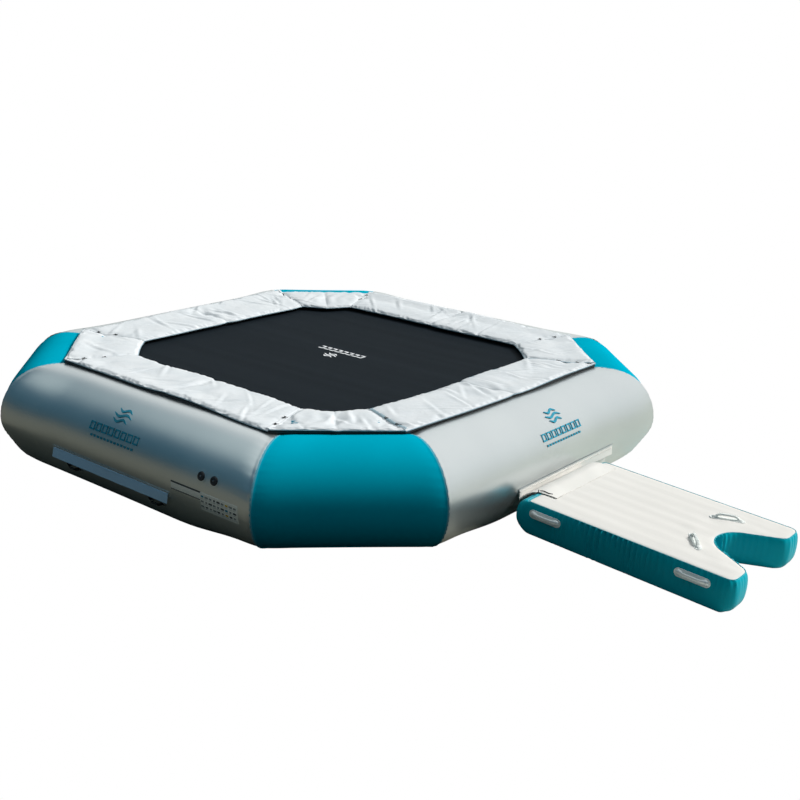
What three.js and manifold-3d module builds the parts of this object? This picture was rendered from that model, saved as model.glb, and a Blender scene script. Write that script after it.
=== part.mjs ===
// Inflatable water trampoline with a boarding platform.
//
// An eight-sided air-filled ring carries a steel frame, springs and a jumping bed. A flat inflatable
// platform is laced to the front of the ring and hinges up and down on its flap.
//
// Millimetres, +Z up. +X points to the platform, +Y to the left side, and the valves are on the right
// side (-Y). Parts are placed from the ring's centre, and the finished model is then moved so that its
// origin is at ground level under the middle of the whole footprint.

import * as THREE from 'three';
import { mergeVertices } from 'three/addons/utils/BufferGeometryUtils.js';
import Module from 'manifold-3d';

const wasm = await Module();
wasm.setup();

// ---------------------------------------------------------------- driving dimensions

const GAP = 0.3;                    // between pieces that rest on each other
const MITRE = Math.tan(Math.PI / 8); // growth of a side's half length per unit of apothem

// Float ring
const TUBE_RADIUS = 450;
const TUBE_CENTRE_Z = 445;          // a little under the radius, so the ring stands on a narrow flat
const TUBE_WALL = 1.2;
const SIDE_APOTHEM = 2155;          // ring centre to tube centreline, at a long side
const SIDE_HALF = 1378;             // half the centreline length of a long side
const CORNER_APOTHEM = (SIDE_APOTHEM + SIDE_HALF) / Math.SQRT2;
const CORNER_HALF = (SIDE_APOTHEM - SIDE_HALF) / Math.SQRT2;

// Steel frame, jumping bed and springs; offsets are from the tube centreline, outwards
const RAIL_RADIUS = 24;
const RAIL_WALL = 2.5;
const RAIL_OFFSET = -262;
const RAIL_Z = 840;
const BED_OFFSET = -555;
const BED_THICKNESS = 3;
const BED_TOP_Z = 843;
const HEM_WIDTH = 60;
const HEM_THICKNESS = 4;
const SPRING_RADIUS = 11;
const SPRING_HOOK_RADIUS = 3;
const SPRING_HOOK_LENGTH = 34;
const SPRING_RING_STRIP = { width: 12, height: 9, inset: 1, endGap: 20 };
const SPRINGS_PER_SIDE = 14;
const SPRINGS_PER_CORNER = 4;

// Safety pads
const PAD_INNER_OFFSET = -677;
const PAD_OUTER_OFFSET = -62;
const PAD_TOP_Z = 907;
const PAD_THICKNESS = 36;
const PAD_END_GAP = 2;
const PAD_LIP = { offset: -170, z: 893 }; // where the underside starts to rise, and its outer height

// Accessory strips: stiff flaps that hang from the outside of the long sides
const STRIP = { offset: 442, thickness: 6, topZ: 351, height: 80, half: 745 };
const STRIP_CENTRES = { front: 130, left: 0, back: 0, right: -89 };

// Lifting straps under the right-hand strip; its angle is above the tube's outermost line
const LIFT_STRAP = {
  angle: -29.5,
  spread: 540,
  length: 180,
  width: 30,
  foot: 30,
  thickness: 3,
  rise: 26,
  standOff: 1,
};

// Valves
const VALVE = {
  flangeRadius: 36,
  flangeHeight: 4,
  barrelRadius: 22,
  boreRadius: 16,
  depth: 40,
  capRadius: 33,
  capHeight: 9,
  capBevel: 3,
  plugRadius: 15,
  plugLength: 12,
  clearance: 1,
};
const VALVE_ANGLE = 19.5;
const VALVE_PLACES = { inflation_valve: 1028, relief_valve: 1170 };

// Mooring rings under the inner side of the corner tubes
const ANCHOR = { angle: 230, ringRadius: 25, wireRadius: 3, standOff: 4 };

// Boarding platform
const PLATFORM_NEAR_X = 2769;
const PLATFORM_LENGTH = 1731;
const PLATFORM_LIFT = 105;          // its ring end hangs this high on the flap; its outer end stands
const PLATFORM_TILT = Math.asin(PLATFORM_LIFT / PLATFORM_LENGTH);
const PLATFORM_CENTRE_Y = -183;     // laced on a little to the right of the ring's centre
const PLATFORM_HALF_WIDTH = 598;
const PLATFORM_CORE_HEIGHT = 264;
const PLATFORM_WALL = 1.5;
const PLATFORM_BULGE = 30;          // how far the side wall stands out beyond the deck's edge
const PLATFORM_WALL_CURVE = 60;     // height of the curved part above and below the upright band
const DECK_THICKNESS = 3.5;
const NEAR_CORNER = 45;
const OUTER_CORNER = 75;
const NOTCH = { bottom: 1315, radius: 240, flare: Math.PI / 6, tipRound: 55 };

const PLATFORM_VALVE_SHARE = 0.45;  // how far along the platform's left wall its valve sits

// Handles: a grip arches over a flat patch; places along the walls and on the deck, turns in degrees
const SIDE_HANDLE = { length: 285, height: 70, patch: 4, grip: 200, rise: 40, gripRadius: 12 };
const SIDE_HANDLE_PLACES = { inner: 182, outer: 1425 };
const SIDE_HANDLE_Z = 187;
const DECK_HANDLE = { length: 275, height: 60, patch: 4, grip: 195, rise: 42, gripRadius: 12 };
const DECK_HANDLE_PLACES = {
  left: { x: 1244, y: 334, turn: 26.5 },
  right: { x: 1246, y: -236, turn: -53 },
};
const GRIP_LIFT = 1;                // keeps the round grip's ends above the underside of the patch

// Flap that joins the lower edge of the front strip to the platform's deck
const FLAP = { thickness: 4, stripZ: 275, deckOverlap: 150, lift: 1, centreY: -95, half: 495 };

// ---------------------------------------------------------------- materials

const COLOURS = {
  silverSkin: [0xb9bdc0, 0.42, 0.1],
  tealSkin: [0x1f8fa6, 0.38, 0.05],
  whiteVinyl: [0xe9ebee, 0.55, 0],
  whiteDeck: [0xedeae4, 0.7, 0],
  blackMesh: [0x15181d, 0.8, 0],
  steel: [0xa9adb1, 0.35, 0.9],
  webbing: [0xd9dcdf, 0.8, 0],
  darkWebbing: [0x30363c, 0.8, 0],
  greyRubber: [0xaeb2b5, 0.6, 0],
  blackPlastic: [0x1b1c1e, 0.5, 0],
};

function material(name) {
  const [color, roughness, metalness] = COLOURS[name];
  return new THREE.MeshStandardMaterial({ color, roughness, metalness });
}

const model = new THREE.Group();

function piece(name, geometry, colour, parent = model) {
  const mesh = new THREE.Mesh(geometry, material(colour));
  mesh.name = name;
  parent.add(mesh);
  return mesh;
}

// ---------------------------------------------------------------- solids: join and cut

function toSolid(geometry) {
  const bare = geometry.clone();
  bare.deleteAttribute('normal');
  bare.deleteAttribute('uv');
  const merged = mergeVertices(bare, 1e-4);
  const mesh = new wasm.Mesh({
    numProp: 3,
    vertProperties: new Float32Array(merged.attributes.position.array),
    triVerts: new Uint32Array(merged.index.array),
  });
  return new wasm.Manifold(mesh);
}

function toGeometry(solid) {
  const mesh = solid.getMesh();
  const geometry = new THREE.BufferGeometry();
  geometry.setAttribute('position', new THREE.BufferAttribute(mesh.vertProperties, 3));
  geometry.setIndex(new THREE.BufferAttribute(mesh.triVerts, 1));
  geometry.computeVertexNormals();
  return geometry;
}

function join(geometries) {
  return toGeometry(geometries.map(toSolid).reduce((whole, part) => whole.add(part)));
}

function cut(geometry, tools) {
  return toGeometry(tools.map(toSolid).reduce((left, tool) => left.subtract(tool), toSolid(geometry)));
}

// ---------------------------------------------------------------- shared shapes

// A bar along one side of the ring. The section's x is the offset from the tube centreline and its y
// is the height; with a mitre, both ends are cut on the planes that halve the ring's corners.
function sideBar(section, side, options = {}) {
  const { half = side.half, mitre = MITRE, endGap = GAP, centre = 0, curve: curveSegments = 8 } = options;
  const bar = new THREE.ExtrudeGeometry(section, { depth: 1, bevelEnabled: false, curveSegments });
  const points = bar.attributes.position;
  for (let i = 0; i < points.count; i += 1) {
    const offset = points.getX(i);
    const reach = half + mitre * offset - endGap / 2;
    const along = centre + (1 - 2 * points.getZ(i)) * reach;
    points.setXYZ(i, side.apothem + offset, along, points.getY(i));
  }
  bar.computeVertexNormals();
  return bar;
}

function polygon(points) {
  return new THREE.Shape(points.map(([x, y]) => new THREE.Vector2(x, y)));
}

function roundedRectangle(width, height, radius) {
  const [w, h] = [width / 2, height / 2];
  const shape = new THREE.Shape();
  shape.moveTo(-w + radius, -h);
  shape.lineTo(w - radius, -h);
  shape.quadraticCurveTo(w, -h, w, -h + radius);
  shape.lineTo(w, h - radius);
  shape.quadraticCurveTo(w, h, w - radius, h);
  shape.lineTo(-w + radius, h);
  shape.quadraticCurveTo(-w, h, -w, h - radius);
  shape.lineTo(-w, -h + radius);
  shape.quadraticCurveTo(-w, -h, -w + radius, -h);
  return shape;
}

// A round bar bent into a low arch: ends on z = 0, top at z = rise.
function archGrip(length, rise, radius, sides = 8, steps = 10) {
  const reach = length / 2;
  const path = new THREE.CubicBezierCurve3(
    new THREE.Vector3(-reach, 0, 0),
    new THREE.Vector3(-reach * 0.8, 0, rise * 4 / 3),
    new THREE.Vector3(reach * 0.8, 0, rise * 4 / 3),
    new THREE.Vector3(reach, 0, 0),
  );
  const section = new THREE.Shape();
  section.absarc(0, 0, radius, 0, Math.PI * 2, false);
  return new THREE.ExtrudeGeometry(section, { steps, extrudePath: path, curveSegments: sides / 2 });
}

// A turned piece about its own +Z axis, from [radius, height] points.
function turned(profile, segments = 16) {
  const lathe = new THREE.LatheGeometry(profile.map(([r, z]) => new THREE.Vector2(r, z)), segments);
  return lathe.rotateX(Math.PI / 2);
}

// ---------------------------------------------------------------- the ring's eight sides

const LONG = { apothem: SIDE_APOTHEM, half: SIDE_HALF, corner: false };
const SHORT = { apothem: CORNER_APOTHEM, half: CORNER_HALF, corner: true };
const SIDE_NAMES = [
  'front',
  'front_left',
  'left',
  'back_left',
  'back',
  'back_right',
  'right',
  'front_right',
];

const sides = SIDE_NAMES.map((name, index) => {
  const group = new THREE.Group();
  group.rotation.z = index * Math.PI / 4;
  model.add(group);
  return { name, group, ...(index % 2 ? SHORT : LONG) };
});

function sideNamed(name) {
  return sides.find((side) => side.name === name);
}

// A frame on the tube's skin: its +Z points straight out of the skin, its +Y runs along the side.
function skinFrame(side, degrees, along, height = 0) {
  const angle = THREE.MathUtils.degToRad(degrees);
  const reach = TUBE_RADIUS + height;
  const group = new THREE.Group();
  group.position.set(side.apothem + reach * Math.cos(angle), along, TUBE_CENTRE_Z + reach * Math.sin(angle));
  group.rotation.y = Math.PI / 2 - angle;
  side.group.add(group);
  return group;
}

function inFrame(geometry, group) {
  group.updateMatrix();
  return geometry.clone().applyMatrix4(group.matrix);
}

// ---------------------------------------------------------------- float ring

function tubeOutline(radius, centreZ, floorZ) {
  const outline = new THREE.Path();
  const foot = Math.asin((floorZ - centreZ) / radius);
  outline.absarc(0, centreZ, radius, foot, Math.PI - foot, false);
  return outline;
}

function tubeSection() {
  const section = new THREE.Shape();
  section.curves = tubeOutline(TUBE_RADIUS, TUBE_CENTRE_Z, 0).curves;
  section.holes.push(tubeOutline(TUBE_RADIUS - TUBE_WALL, TUBE_CENTRE_Z, TUBE_WALL));
  return section;
}

function valveHole(depth) {
  const radius = VALVE.barrelRadius + VALVE.clearance;
  return new THREE.CylinderGeometry(radius, radius, depth * 2, 16).rotateX(Math.PI / 2);
}

function addFloats() {
  const section = tubeSection();
  for (const side of sides) {
    let skin = sideBar(section, side, { curve: 20 });
    if (side.name === 'right') {
      const holes = Object.values(VALVE_PLACES).map((along) => {
        return inFrame(valveHole(VALVE.depth), skinFrame(side, VALVE_ANGLE, along));
      });
      skin = cut(skin, holes);
    }
    piece(`float_${side.name}`, skin, side.corner ? 'tealSkin' : 'silverSkin', side.group);
  }
}

// ---------------------------------------------------------------- frame, bed and springs

function addFrame() {
  const section = new THREE.Shape();
  section.absarc(RAIL_OFFSET, RAIL_Z, RAIL_RADIUS, 0, Math.PI * 2, false);
  const bore = new THREE.Path();
  bore.absarc(RAIL_OFFSET, RAIL_Z, RAIL_RADIUS - RAIL_WALL, 0, Math.PI * 2, false);
  section.holes.push(bore);
  for (const side of sides) {
    piece(`frame_rail_${side.name}`, sideBar(section, side), 'steel', side.group);
  }
}

function octagon(offset) {
  const apothem = SIDE_APOTHEM + offset;
  const half = SIDE_HALF + MITRE * offset;
  const corners = [];
  for (let turn = 0; turn < 4; turn += 1) {
    for (const along of [-half, half]) {
      corners.push(new THREE.Vector2(apothem, along).rotateAround(new THREE.Vector2(), turn * Math.PI / 2));
    }
  }
  return corners;
}

function addBed() {
  const sheet = new THREE.Shape(octagon(BED_OFFSET));
  const bed = new THREE.ExtrudeGeometry(sheet, { depth: BED_THICKNESS, bevelEnabled: false });
  piece('jumping_bed', bed.translate(0, 0, BED_TOP_Z - BED_THICKNESS), 'blackMesh');

  const border = new THREE.Shape(octagon(BED_OFFSET));
  border.holes.push(new THREE.Path(octagon(BED_OFFSET - HEM_WIDTH)));
  const hem = new THREE.ExtrudeGeometry(border, { depth: HEM_THICKNESS, bevelEnabled: false });
  piece('bed_hem', hem.translate(0, 0, BED_TOP_Z + GAP), 'blackMesh');
}

// One spring along +X from x = 0: a thin hook, the coil's envelope, and the outer hook.
function springShape(length) {
  const profile = [
    [0, 0],
    [SPRING_HOOK_RADIUS, 0],
    [SPRING_HOOK_RADIUS, SPRING_HOOK_LENGTH],
    [SPRING_RADIUS, SPRING_HOOK_LENGTH],
    [SPRING_RADIUS, length - SPRING_HOOK_LENGTH],
    [SPRING_HOOK_RADIUS, length - SPRING_HOOK_LENGTH],
    [SPRING_HOOK_RADIUS, length],
    [0, length],
  ];
  return turned(profile, 5).rotateY(Math.PI / 2);
}

// A row of springs, joined at the bed by the webbing strip that holds their rings.
function addSprings() {
  const coilZ = BED_TOP_Z - BED_THICKNESS / 2;
  const { width, height, inset, endGap } = SPRING_RING_STRIP;
  const innerOffset = BED_OFFSET + inset;
  const hookStart = innerOffset + width / 2;
  const length = RAIL_OFFSET - RAIL_RADIUS - GAP - hookStart;
  for (const side of sides) {
    const strip = polygon([
      [innerOffset, coilZ - height / 2],
      [innerOffset + width, coilZ - height / 2],
      [innerOffset + width, coilZ + height / 2],
      [innerOffset, coilZ + height / 2],
    ]);
    const row = [sideBar(strip, side, { endGap })];
    const count = side.corner ? SPRINGS_PER_CORNER : SPRINGS_PER_SIDE;
    const pitch = 2 * (side.half + MITRE * BED_OFFSET) / count;
    for (let i = 0; i < count; i += 1) {
      const along = (i - (count - 1) / 2) * pitch;
      row.push(springShape(length).translate(side.apothem + hookStart, along, coilZ));
    }
    piece(`springs_${side.name}`, join(row), 'steel', side.group);
  }
}

// ---------------------------------------------------------------- pads

function addPads() {
  const bottom = PAD_TOP_Z - PAD_THICKNESS;
  const section = polygon([
    [PAD_INNER_OFFSET, bottom],
    [PAD_LIP.offset, bottom],
    [PAD_OUTER_OFFSET, PAD_LIP.z],
    [PAD_OUTER_OFFSET, PAD_TOP_Z],
    [PAD_INNER_OFFSET, PAD_TOP_Z],
  ]);
  for (const side of sides) {
    piece(`pad_${side.name}`, sideBar(section, side, { endGap: PAD_END_GAP }), 'whiteVinyl', side.group);
  }
}

// ---------------------------------------------------------------- fittings on the tube

function addStrips() {
  const { offset, thickness, topZ, height, half } = STRIP;
  const section = polygon([
    [offset, topZ - height],
    [offset + thickness, topZ - height],
    [offset + thickness, topZ],
    [offset, topZ],
  ]);
  for (const [name, centre] of Object.entries(STRIP_CENTRES)) {
    const side = sideNamed(name);
    const strip = sideBar(section, side, { half, mitre: 0, centre });
    piece(`accessory_strip_${name}`, strip, 'webbing', side.group);
  }
}

// A flat strap with its ends on the skin and its middle standing clear of it.
function strapShape() {
  const { length, width, foot, thickness, rise } = LIFT_STRAP;
  const reach = length / 2;
  const outline = polygon([
    [-reach, 0],
    [-reach + foot, 0],
    [-reach / 2, rise - thickness],
    [reach / 2, rise - thickness],
    [reach - foot, 0],
    [reach, 0],
    [reach, thickness],
    [reach - foot, thickness],
    [reach / 2, rise],
    [-reach / 2, rise],
    [-reach + foot, thickness],
    [-reach, thickness],
  ]);
  const strap = new THREE.ExtrudeGeometry(outline, { depth: width, bevelEnabled: false });
  return strap.translate(0, 0, -width / 2).rotateX(Math.PI / 2).rotateZ(Math.PI / 2);
}

function addLiftStraps() {
  const side = sideNamed('right');
  for (const [label, sign] of [['rear', -1], ['front', 1]]) {
    const along = STRIP_CENTRES.right + sign * LIFT_STRAP.spread;
    const frame = skinFrame(side, LIFT_STRAP.angle, along, LIFT_STRAP.standOff);
    piece(`lift_strap_${label}`, strapShape(), 'darkWebbing', frame);
  }
}

function valveBody() {
  const { boreRadius, barrelRadius, flangeRadius, flangeHeight, depth } = VALVE;
  return turned([
    [boreRadius, -depth],
    [barrelRadius, -depth],
    [barrelRadius, GAP],
    [flangeRadius, GAP],
    [flangeRadius, flangeHeight],
    [boreRadius, flangeHeight],
    [boreRadius, -depth],
  ]);
}

function valveCap() {
  const { plugRadius, plugLength, flangeHeight, capRadius, capHeight, capBevel } = VALVE;
  const plugEnd = flangeHeight - plugLength;
  const seat = flangeHeight + GAP;
  const top = seat + capHeight;
  return turned([
    [0, plugEnd],
    [plugRadius, plugEnd],
    [plugRadius, seat],
    [capRadius, seat],
    [capRadius, top - capBevel],
    [capRadius - capBevel, top],
    [0, top],
  ]);
}

function addValve(name, frame) {
  piece(`${name}_body`, valveBody(), 'blackPlastic', frame);
  piece(`${name}_cap`, valveCap(), 'blackPlastic', frame);
}

function addRingValves() {
  const side = sideNamed('right');
  for (const [name, along] of Object.entries(VALVE_PLACES)) {
    addValve(name, skinFrame(side, VALVE_ANGLE, along));
  }
}

function addAnchorRings() {
  const { angle, ringRadius, wireRadius, standOff } = ANCHOR;
  for (const side of sides.filter(({ corner }) => corner)) {
    const frame = skinFrame(side, angle, 0, standOff + ringRadius);
    const ring = new THREE.TorusGeometry(ringRadius, wireRadius, 6, 14).rotateY(Math.PI / 2);
    piece(`anchor_ring_${side.name}`, ring, 'steel', frame);
  }
}

// ---------------------------------------------------------------- boarding platform

const platform = new THREE.Group();
platform.position.set(PLATFORM_NEAR_X, PLATFORM_CENTRE_Y, PLATFORM_LIFT);
platform.rotation.y = PLATFORM_TILT;
model.add(platform);

// Deck outline from above, x from the ring-side edge: straight sides and a flared notch in the end.
function deckOutline() {
  const w = PLATFORM_HALF_WIDTH;
  const end = PLATFORM_LENGTH;
  const { bottom, radius, flare, tipRound } = NOTCH;
  const centreX = bottom + radius;
  const arcX = centreX - radius * Math.sin(flare);
  const arcY = radius * Math.cos(flare);
  const tipY = arcY + (end - arcX) * Math.tan(flare);
  const flareX = end - tipRound * Math.cos(flare);
  const flareY = tipY - tipRound * Math.sin(flare);
  const shape = new THREE.Shape();
  shape.moveTo(NEAR_CORNER, -w);
  shape.lineTo(end - OUTER_CORNER, -w);
  shape.quadraticCurveTo(end, -w, end, -w + OUTER_CORNER);
  shape.lineTo(end, -tipY - tipRound);
  shape.quadraticCurveTo(end, -tipY, flareX, -flareY);
  shape.lineTo(arcX, -arcY);
  shape.absarc(centreX, 0, radius, Math.PI * 1.5 - flare, Math.PI / 2 + flare, true);
  shape.lineTo(flareX, flareY);
  shape.quadraticCurveTo(end, tipY, end, tipY + tipRound);
  shape.lineTo(end, w - OUTER_CORNER);
  shape.quadraticCurveTo(end, w, end - OUTER_CORNER, w);
  shape.lineTo(NEAR_CORNER, w);
  shape.quadraticCurveTo(0, w, 0, w - NEAR_CORNER);
  shape.lineTo(0, -w + NEAR_CORNER);
  shape.quadraticCurveTo(0, -w, NEAR_CORNER, -w);
  return shape;
}

// The platform's air chamber with bulging side walls; inset makes the inner face of its skin.
function chamber(inset) {
  const rounding = PLATFORM_WALL_CURVE - inset;
  const geometry = new THREE.ExtrudeGeometry(deckOutline(), {
    depth: PLATFORM_CORE_HEIGHT - 2 * PLATFORM_WALL_CURVE,
    bevelThickness: rounding,
    bevelSize: PLATFORM_BULGE,
    bevelOffset: -inset,
    bevelSegments: 3,
    curveSegments: 5,
  });
  return geometry.translate(0, 0, PLATFORM_WALL_CURVE);
}

function platformValveFrame() {
  const frame = new THREE.Group();
  const wallY = PLATFORM_HALF_WIDTH + PLATFORM_BULGE;
  frame.position.set(PLATFORM_LENGTH * PLATFORM_VALVE_SHARE, wallY, PLATFORM_CORE_HEIGHT / 2);
  frame.rotation.x = -Math.PI / 2;
  return frame;
}

function addPlatformBody() {
  const frame = platformValveFrame();
  const hole = inFrame(valveHole(VALVE.depth), frame);
  const skin = cut(chamber(0), [chamber(PLATFORM_WALL), hole]);
  piece('platform_chamber', skin, 'tealSkin', platform);

  const sheet = { depth: DECK_THICKNESS, bevelEnabled: false, curveSegments: 5 };
  const deck = new THREE.ExtrudeGeometry(deckOutline(), sheet);
  piece('platform_deck', deck.translate(0, 0, PLATFORM_CORE_HEIGHT + GAP), 'whiteDeck', platform);

  platform.add(frame);
  addValve('platform_valve', frame);
}

// A handle on a backing patch: patch on z = 0, grip arching away from it.
function patchHandle({ length, height, patch, grip, rise, gripRadius }) {
  const outline = roundedRectangle(length, height, height / 2);
  const plate = new THREE.ExtrudeGeometry(outline, { depth: patch, bevelEnabled: false, curveSegments: 3 });
  return join([plate, archGrip(grip, rise, gripRadius).translate(0, 0, patch + GRIP_LIFT)]);
}

function addSideHandles() {
  const wallY = PLATFORM_HALF_WIDTH + PLATFORM_BULGE + GAP;
  for (const [sideName, sign] of [['left', 1], ['right', -1]]) {
    for (const [place, x] of Object.entries(SIDE_HANDLE_PLACES)) {
      const name = `handle_${sideName}_${place}`;
      const handle = piece(name, patchHandle(SIDE_HANDLE), 'greyRubber', platform);
      handle.position.set(x, sign * wallY, SIDE_HANDLE_Z);
      handle.rotation.x = -sign * Math.PI / 2;
    }
  }
}

function addDeckHandles() {
  const deckZ = PLATFORM_CORE_HEIGHT + DECK_THICKNESS + 2 * GAP;
  for (const [label, { x, y, turn }] of Object.entries(DECK_HANDLE_PLACES)) {
    const handle = piece(`deck_handle_${label}`, patchHandle(DECK_HANDLE), 'greyRubber', platform);
    handle.position.set(x, y, deckZ);
    handle.rotation.z = THREE.MathUtils.degToRad(turn);
  }
}

// A point above the platform's own ground plane, as [x, z] from the ring's centre.
function onPlatform(x, z) {
  const [sin, cos] = [Math.sin(PLATFORM_TILT), Math.cos(PLATFORM_TILT)];
  return [PLATFORM_NEAR_X + x * cos + z * sin, PLATFORM_LIFT - x * sin + z * cos];
}

// The flap starts outside the front strip's lower edge and lies on the deck's ring-side edge.
function addFlap() {
  const { thickness, stripZ, deckOverlap, lift, centreY, half } = FLAP;
  const stripX = SIDE_APOTHEM + STRIP.offset + STRIP.thickness + lift;
  const deckZ = PLATFORM_CORE_HEIGHT + DECK_THICKNESS + GAP + lift;
  const section = polygon([
    [stripX, stripZ],
    onPlatform(0, deckZ),
    onPlatform(deckOverlap, deckZ),
    onPlatform(deckOverlap, deckZ + thickness),
    onPlatform(0, deckZ + thickness),
    [stripX, stripZ + thickness],
  ]);
  const sheet = new THREE.ExtrudeGeometry(section, { depth: 2 * half, bevelEnabled: false });
  const flap = piece('hinge_flap', sheet.rotateX(Math.PI / 2), 'whiteDeck');
  flap.position.y = centreY + half;
}

// ---------------------------------------------------------------- assembly

addFloats();
addFrame();
addBed();
addSprings();
addPads();
addStrips();
addLiftStraps();
addRingValves();
addAnchorRings();
addPlatformBody();
addSideHandles();
addDeckHandles();
addFlap();

const footprint = new THREE.Box3().setFromObject(model, true);
model.position.x = -footprint.getCenter(new THREE.Vector3()).x;

export default model;
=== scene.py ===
"""Inflatable water trampoline with a boarding platform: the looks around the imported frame. Metres, +Z up."""

import math

import bmesh
import bpy
import numpy as np
from mathutils import Matrix, Vector


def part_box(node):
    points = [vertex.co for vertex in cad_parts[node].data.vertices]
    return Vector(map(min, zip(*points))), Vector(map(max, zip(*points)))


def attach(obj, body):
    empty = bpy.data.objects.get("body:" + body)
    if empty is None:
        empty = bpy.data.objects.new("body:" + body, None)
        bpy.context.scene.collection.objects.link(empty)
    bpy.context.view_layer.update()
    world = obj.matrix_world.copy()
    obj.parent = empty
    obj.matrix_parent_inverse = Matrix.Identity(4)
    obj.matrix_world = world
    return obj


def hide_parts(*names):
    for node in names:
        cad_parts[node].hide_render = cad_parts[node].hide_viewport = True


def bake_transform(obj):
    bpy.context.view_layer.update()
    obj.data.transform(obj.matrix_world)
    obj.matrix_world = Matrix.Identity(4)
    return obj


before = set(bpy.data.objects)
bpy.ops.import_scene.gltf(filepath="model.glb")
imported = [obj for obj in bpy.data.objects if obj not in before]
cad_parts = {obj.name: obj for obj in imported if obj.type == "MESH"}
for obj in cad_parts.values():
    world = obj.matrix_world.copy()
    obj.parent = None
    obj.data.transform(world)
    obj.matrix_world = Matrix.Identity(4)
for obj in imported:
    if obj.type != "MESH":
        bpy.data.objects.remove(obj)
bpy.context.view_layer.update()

# ------------------------------------------------------------------ places, from the frame

MITRE = math.tan(math.pi / 8)
FULL_TURN = 2 * math.pi
SIDE_NAMES = ["front", "front_left", "left", "back_left", "back", "back_right", "right", "front_right"]

front_low, front_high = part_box("float_front")
back_low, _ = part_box("float_back")
RING_X = (front_high.x + back_low.x) / 2
TUBE_RADIUS = 0.45
TUBE_Z = front_high.z - TUBE_RADIUS
SIDE_APOTHEM = (front_low.x + front_high.x) / 2 - RING_X
SIDE_HALF = front_high.y - MITRE * (front_high.x - RING_X - SIDE_APOTHEM)
CORNER_APOTHEM = (SIDE_APOTHEM + SIDE_HALF) / math.sqrt(2)
CORNER_HALF = (SIDE_APOTHEM - SIDE_HALF) / math.sqrt(2)

pad_low, pad_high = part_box("pad_front")
PAD_INNER = pad_low.x - RING_X - SIDE_APOTHEM
PAD_OUTER = pad_high.x - RING_X - SIDE_APOTHEM
PAD_TOP = pad_high.z
PAD_BOTTOM = pad_low.z

rail_low, rail_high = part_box("frame_rail_front")
RAIL_RADIUS = (rail_high.z - rail_low.z) / 2
RAIL_OFFSET = (rail_low.x + rail_high.x) / 2 - RING_X - SIDE_APOTHEM
RAIL_Z = (rail_low.z + rail_high.z) / 2

_, bed_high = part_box("jumping_bed")
BED_OFFSET = bed_high.x - RING_X - SIDE_APOTHEM
BED_Z = bed_high.z


def turned_box(node, turn):
    """A node's lowest and highest corners after a turn."""
    points = [turn @ vertex.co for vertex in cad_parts[node].data.vertices]
    return [Vector([pick(p[i] for p in points) for i in range(3)]) for pick in (min, max)]


def middle_of(node):
    low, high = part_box(node)
    return (low + high) / 2


def platform_turn():
    """The platform's slope: +X along it towards its outer end and +Z straight up out of its deck."""
    along = (middle_of("handle_left_outer") - middle_of("handle_left_inner")).normalized()
    across = Vector((0, 1, 0))
    return Matrix((along, across, along.cross(across))).transposed()


TURN = platform_turn()
deck_low, deck_high = turned_box("platform_deck", TURN.inverted())
chamber_low, chamber_high = turned_box("platform_chamber", TURN.inverted())
PLATFORM_Y = (deck_low.y + deck_high.y) / 2
PLATFORM_LENGTH = deck_high.x - deck_low.x
PLATFORM_HALF = (deck_high.y - deck_low.y) / 2
DECK_TOP = deck_high.z - chamber_low.z
WALL_TOP = deck_low.z - chamber_low.z
BULGE = chamber_high.y - deck_high.y
PLATFORM_ORIGIN = Vector((deck_low.x, PLATFORM_Y, chamber_low.z))
PLATFORM = TURN.to_4x4() @ Matrix.Translation(PLATFORM_ORIGIN)


def platform_box(node):
    """A node's lowest and highest corners in the platform's own frame."""
    low, high = turned_box(node, TURN.inverted())
    return low - PLATFORM_ORIGIN, high - PLATFORM_ORIGIN


def moved(points, matrix):
    """Points taken through a 4 x 4 matrix."""
    m = np.array(matrix)
    return points @ m[:3, :3].T + m[:3, 3]


class Side:
    """One of the ring's eight sides: its turn about the ring's centre and the length of its tube."""

    def __init__(self, index):
        self.name = SIDE_NAMES[index]
        self.corner = index % 2 == 1
        self.angle = index * math.pi / 4
        self.apothem = CORNER_APOTHEM if self.corner else SIDE_APOTHEM
        self.half = CORNER_HALF if self.corner else SIDE_HALF

    def place(self, offset, along, z):
        """Points from offsets outwards of the tube's centreline, distances along the side and heights."""
        offset, along, z = np.broadcast_arrays(offset, along, z)
        out = self.apothem + offset
        cos, sin = math.cos(self.angle), math.sin(self.angle)
        return np.stack([RING_X + out * cos - along * sin, out * sin + along * cos, z], axis=-1)

    def reach(self, offset):
        """Half the side's length at an offset, up to the plane where it meets its neighbour."""
        return self.half + MITRE * offset

    def skin(self, along, degrees, height=0.0):
        """Points on the tube's skin, or a height above it; the angle is above the outermost line."""
        angle = np.radians(degrees)
        radius = TUBE_RADIUS + height
        return self.place(radius * np.cos(angle), along, TUBE_Z + radius * np.sin(angle))

    def skin_matrix(self, along, degrees, height=0.0):
        """A frame on the skin: +Z points straight out and +Y runs along the side."""
        angle = math.radians(degrees)
        out = Vector((math.cos(self.angle), math.sin(self.angle), 0))
        along_axis = Vector((-math.sin(self.angle), math.cos(self.angle), 0))
        normal = out * math.cos(angle) + Vector((0, 0, math.sin(angle)))
        across = along_axis.cross(normal)
        matrix = Matrix((across, along_axis, normal)).transposed().to_4x4()
        matrix.translation = Vector(self.skin(along, degrees, height))
        return matrix


sides = [Side(index) for index in range(8)]
by_name = {side.name: side for side in sides}

# ------------------------------------------------------------------ mesh helpers


def grid_quads(rows, columns, around=False):
    """Quads over a grid of points; around also closes the rows into a ring."""
    row = np.arange(rows if around else rows - 1)
    column = np.arange(columns - 1)
    a = row[:, None] * columns + column[None, :]
    b = ((row + 1) % rows)[:, None] * columns + column[None, :]
    return np.stack([a, a + 1, b + 1, b], axis=-1).reshape(-1, 4)


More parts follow.
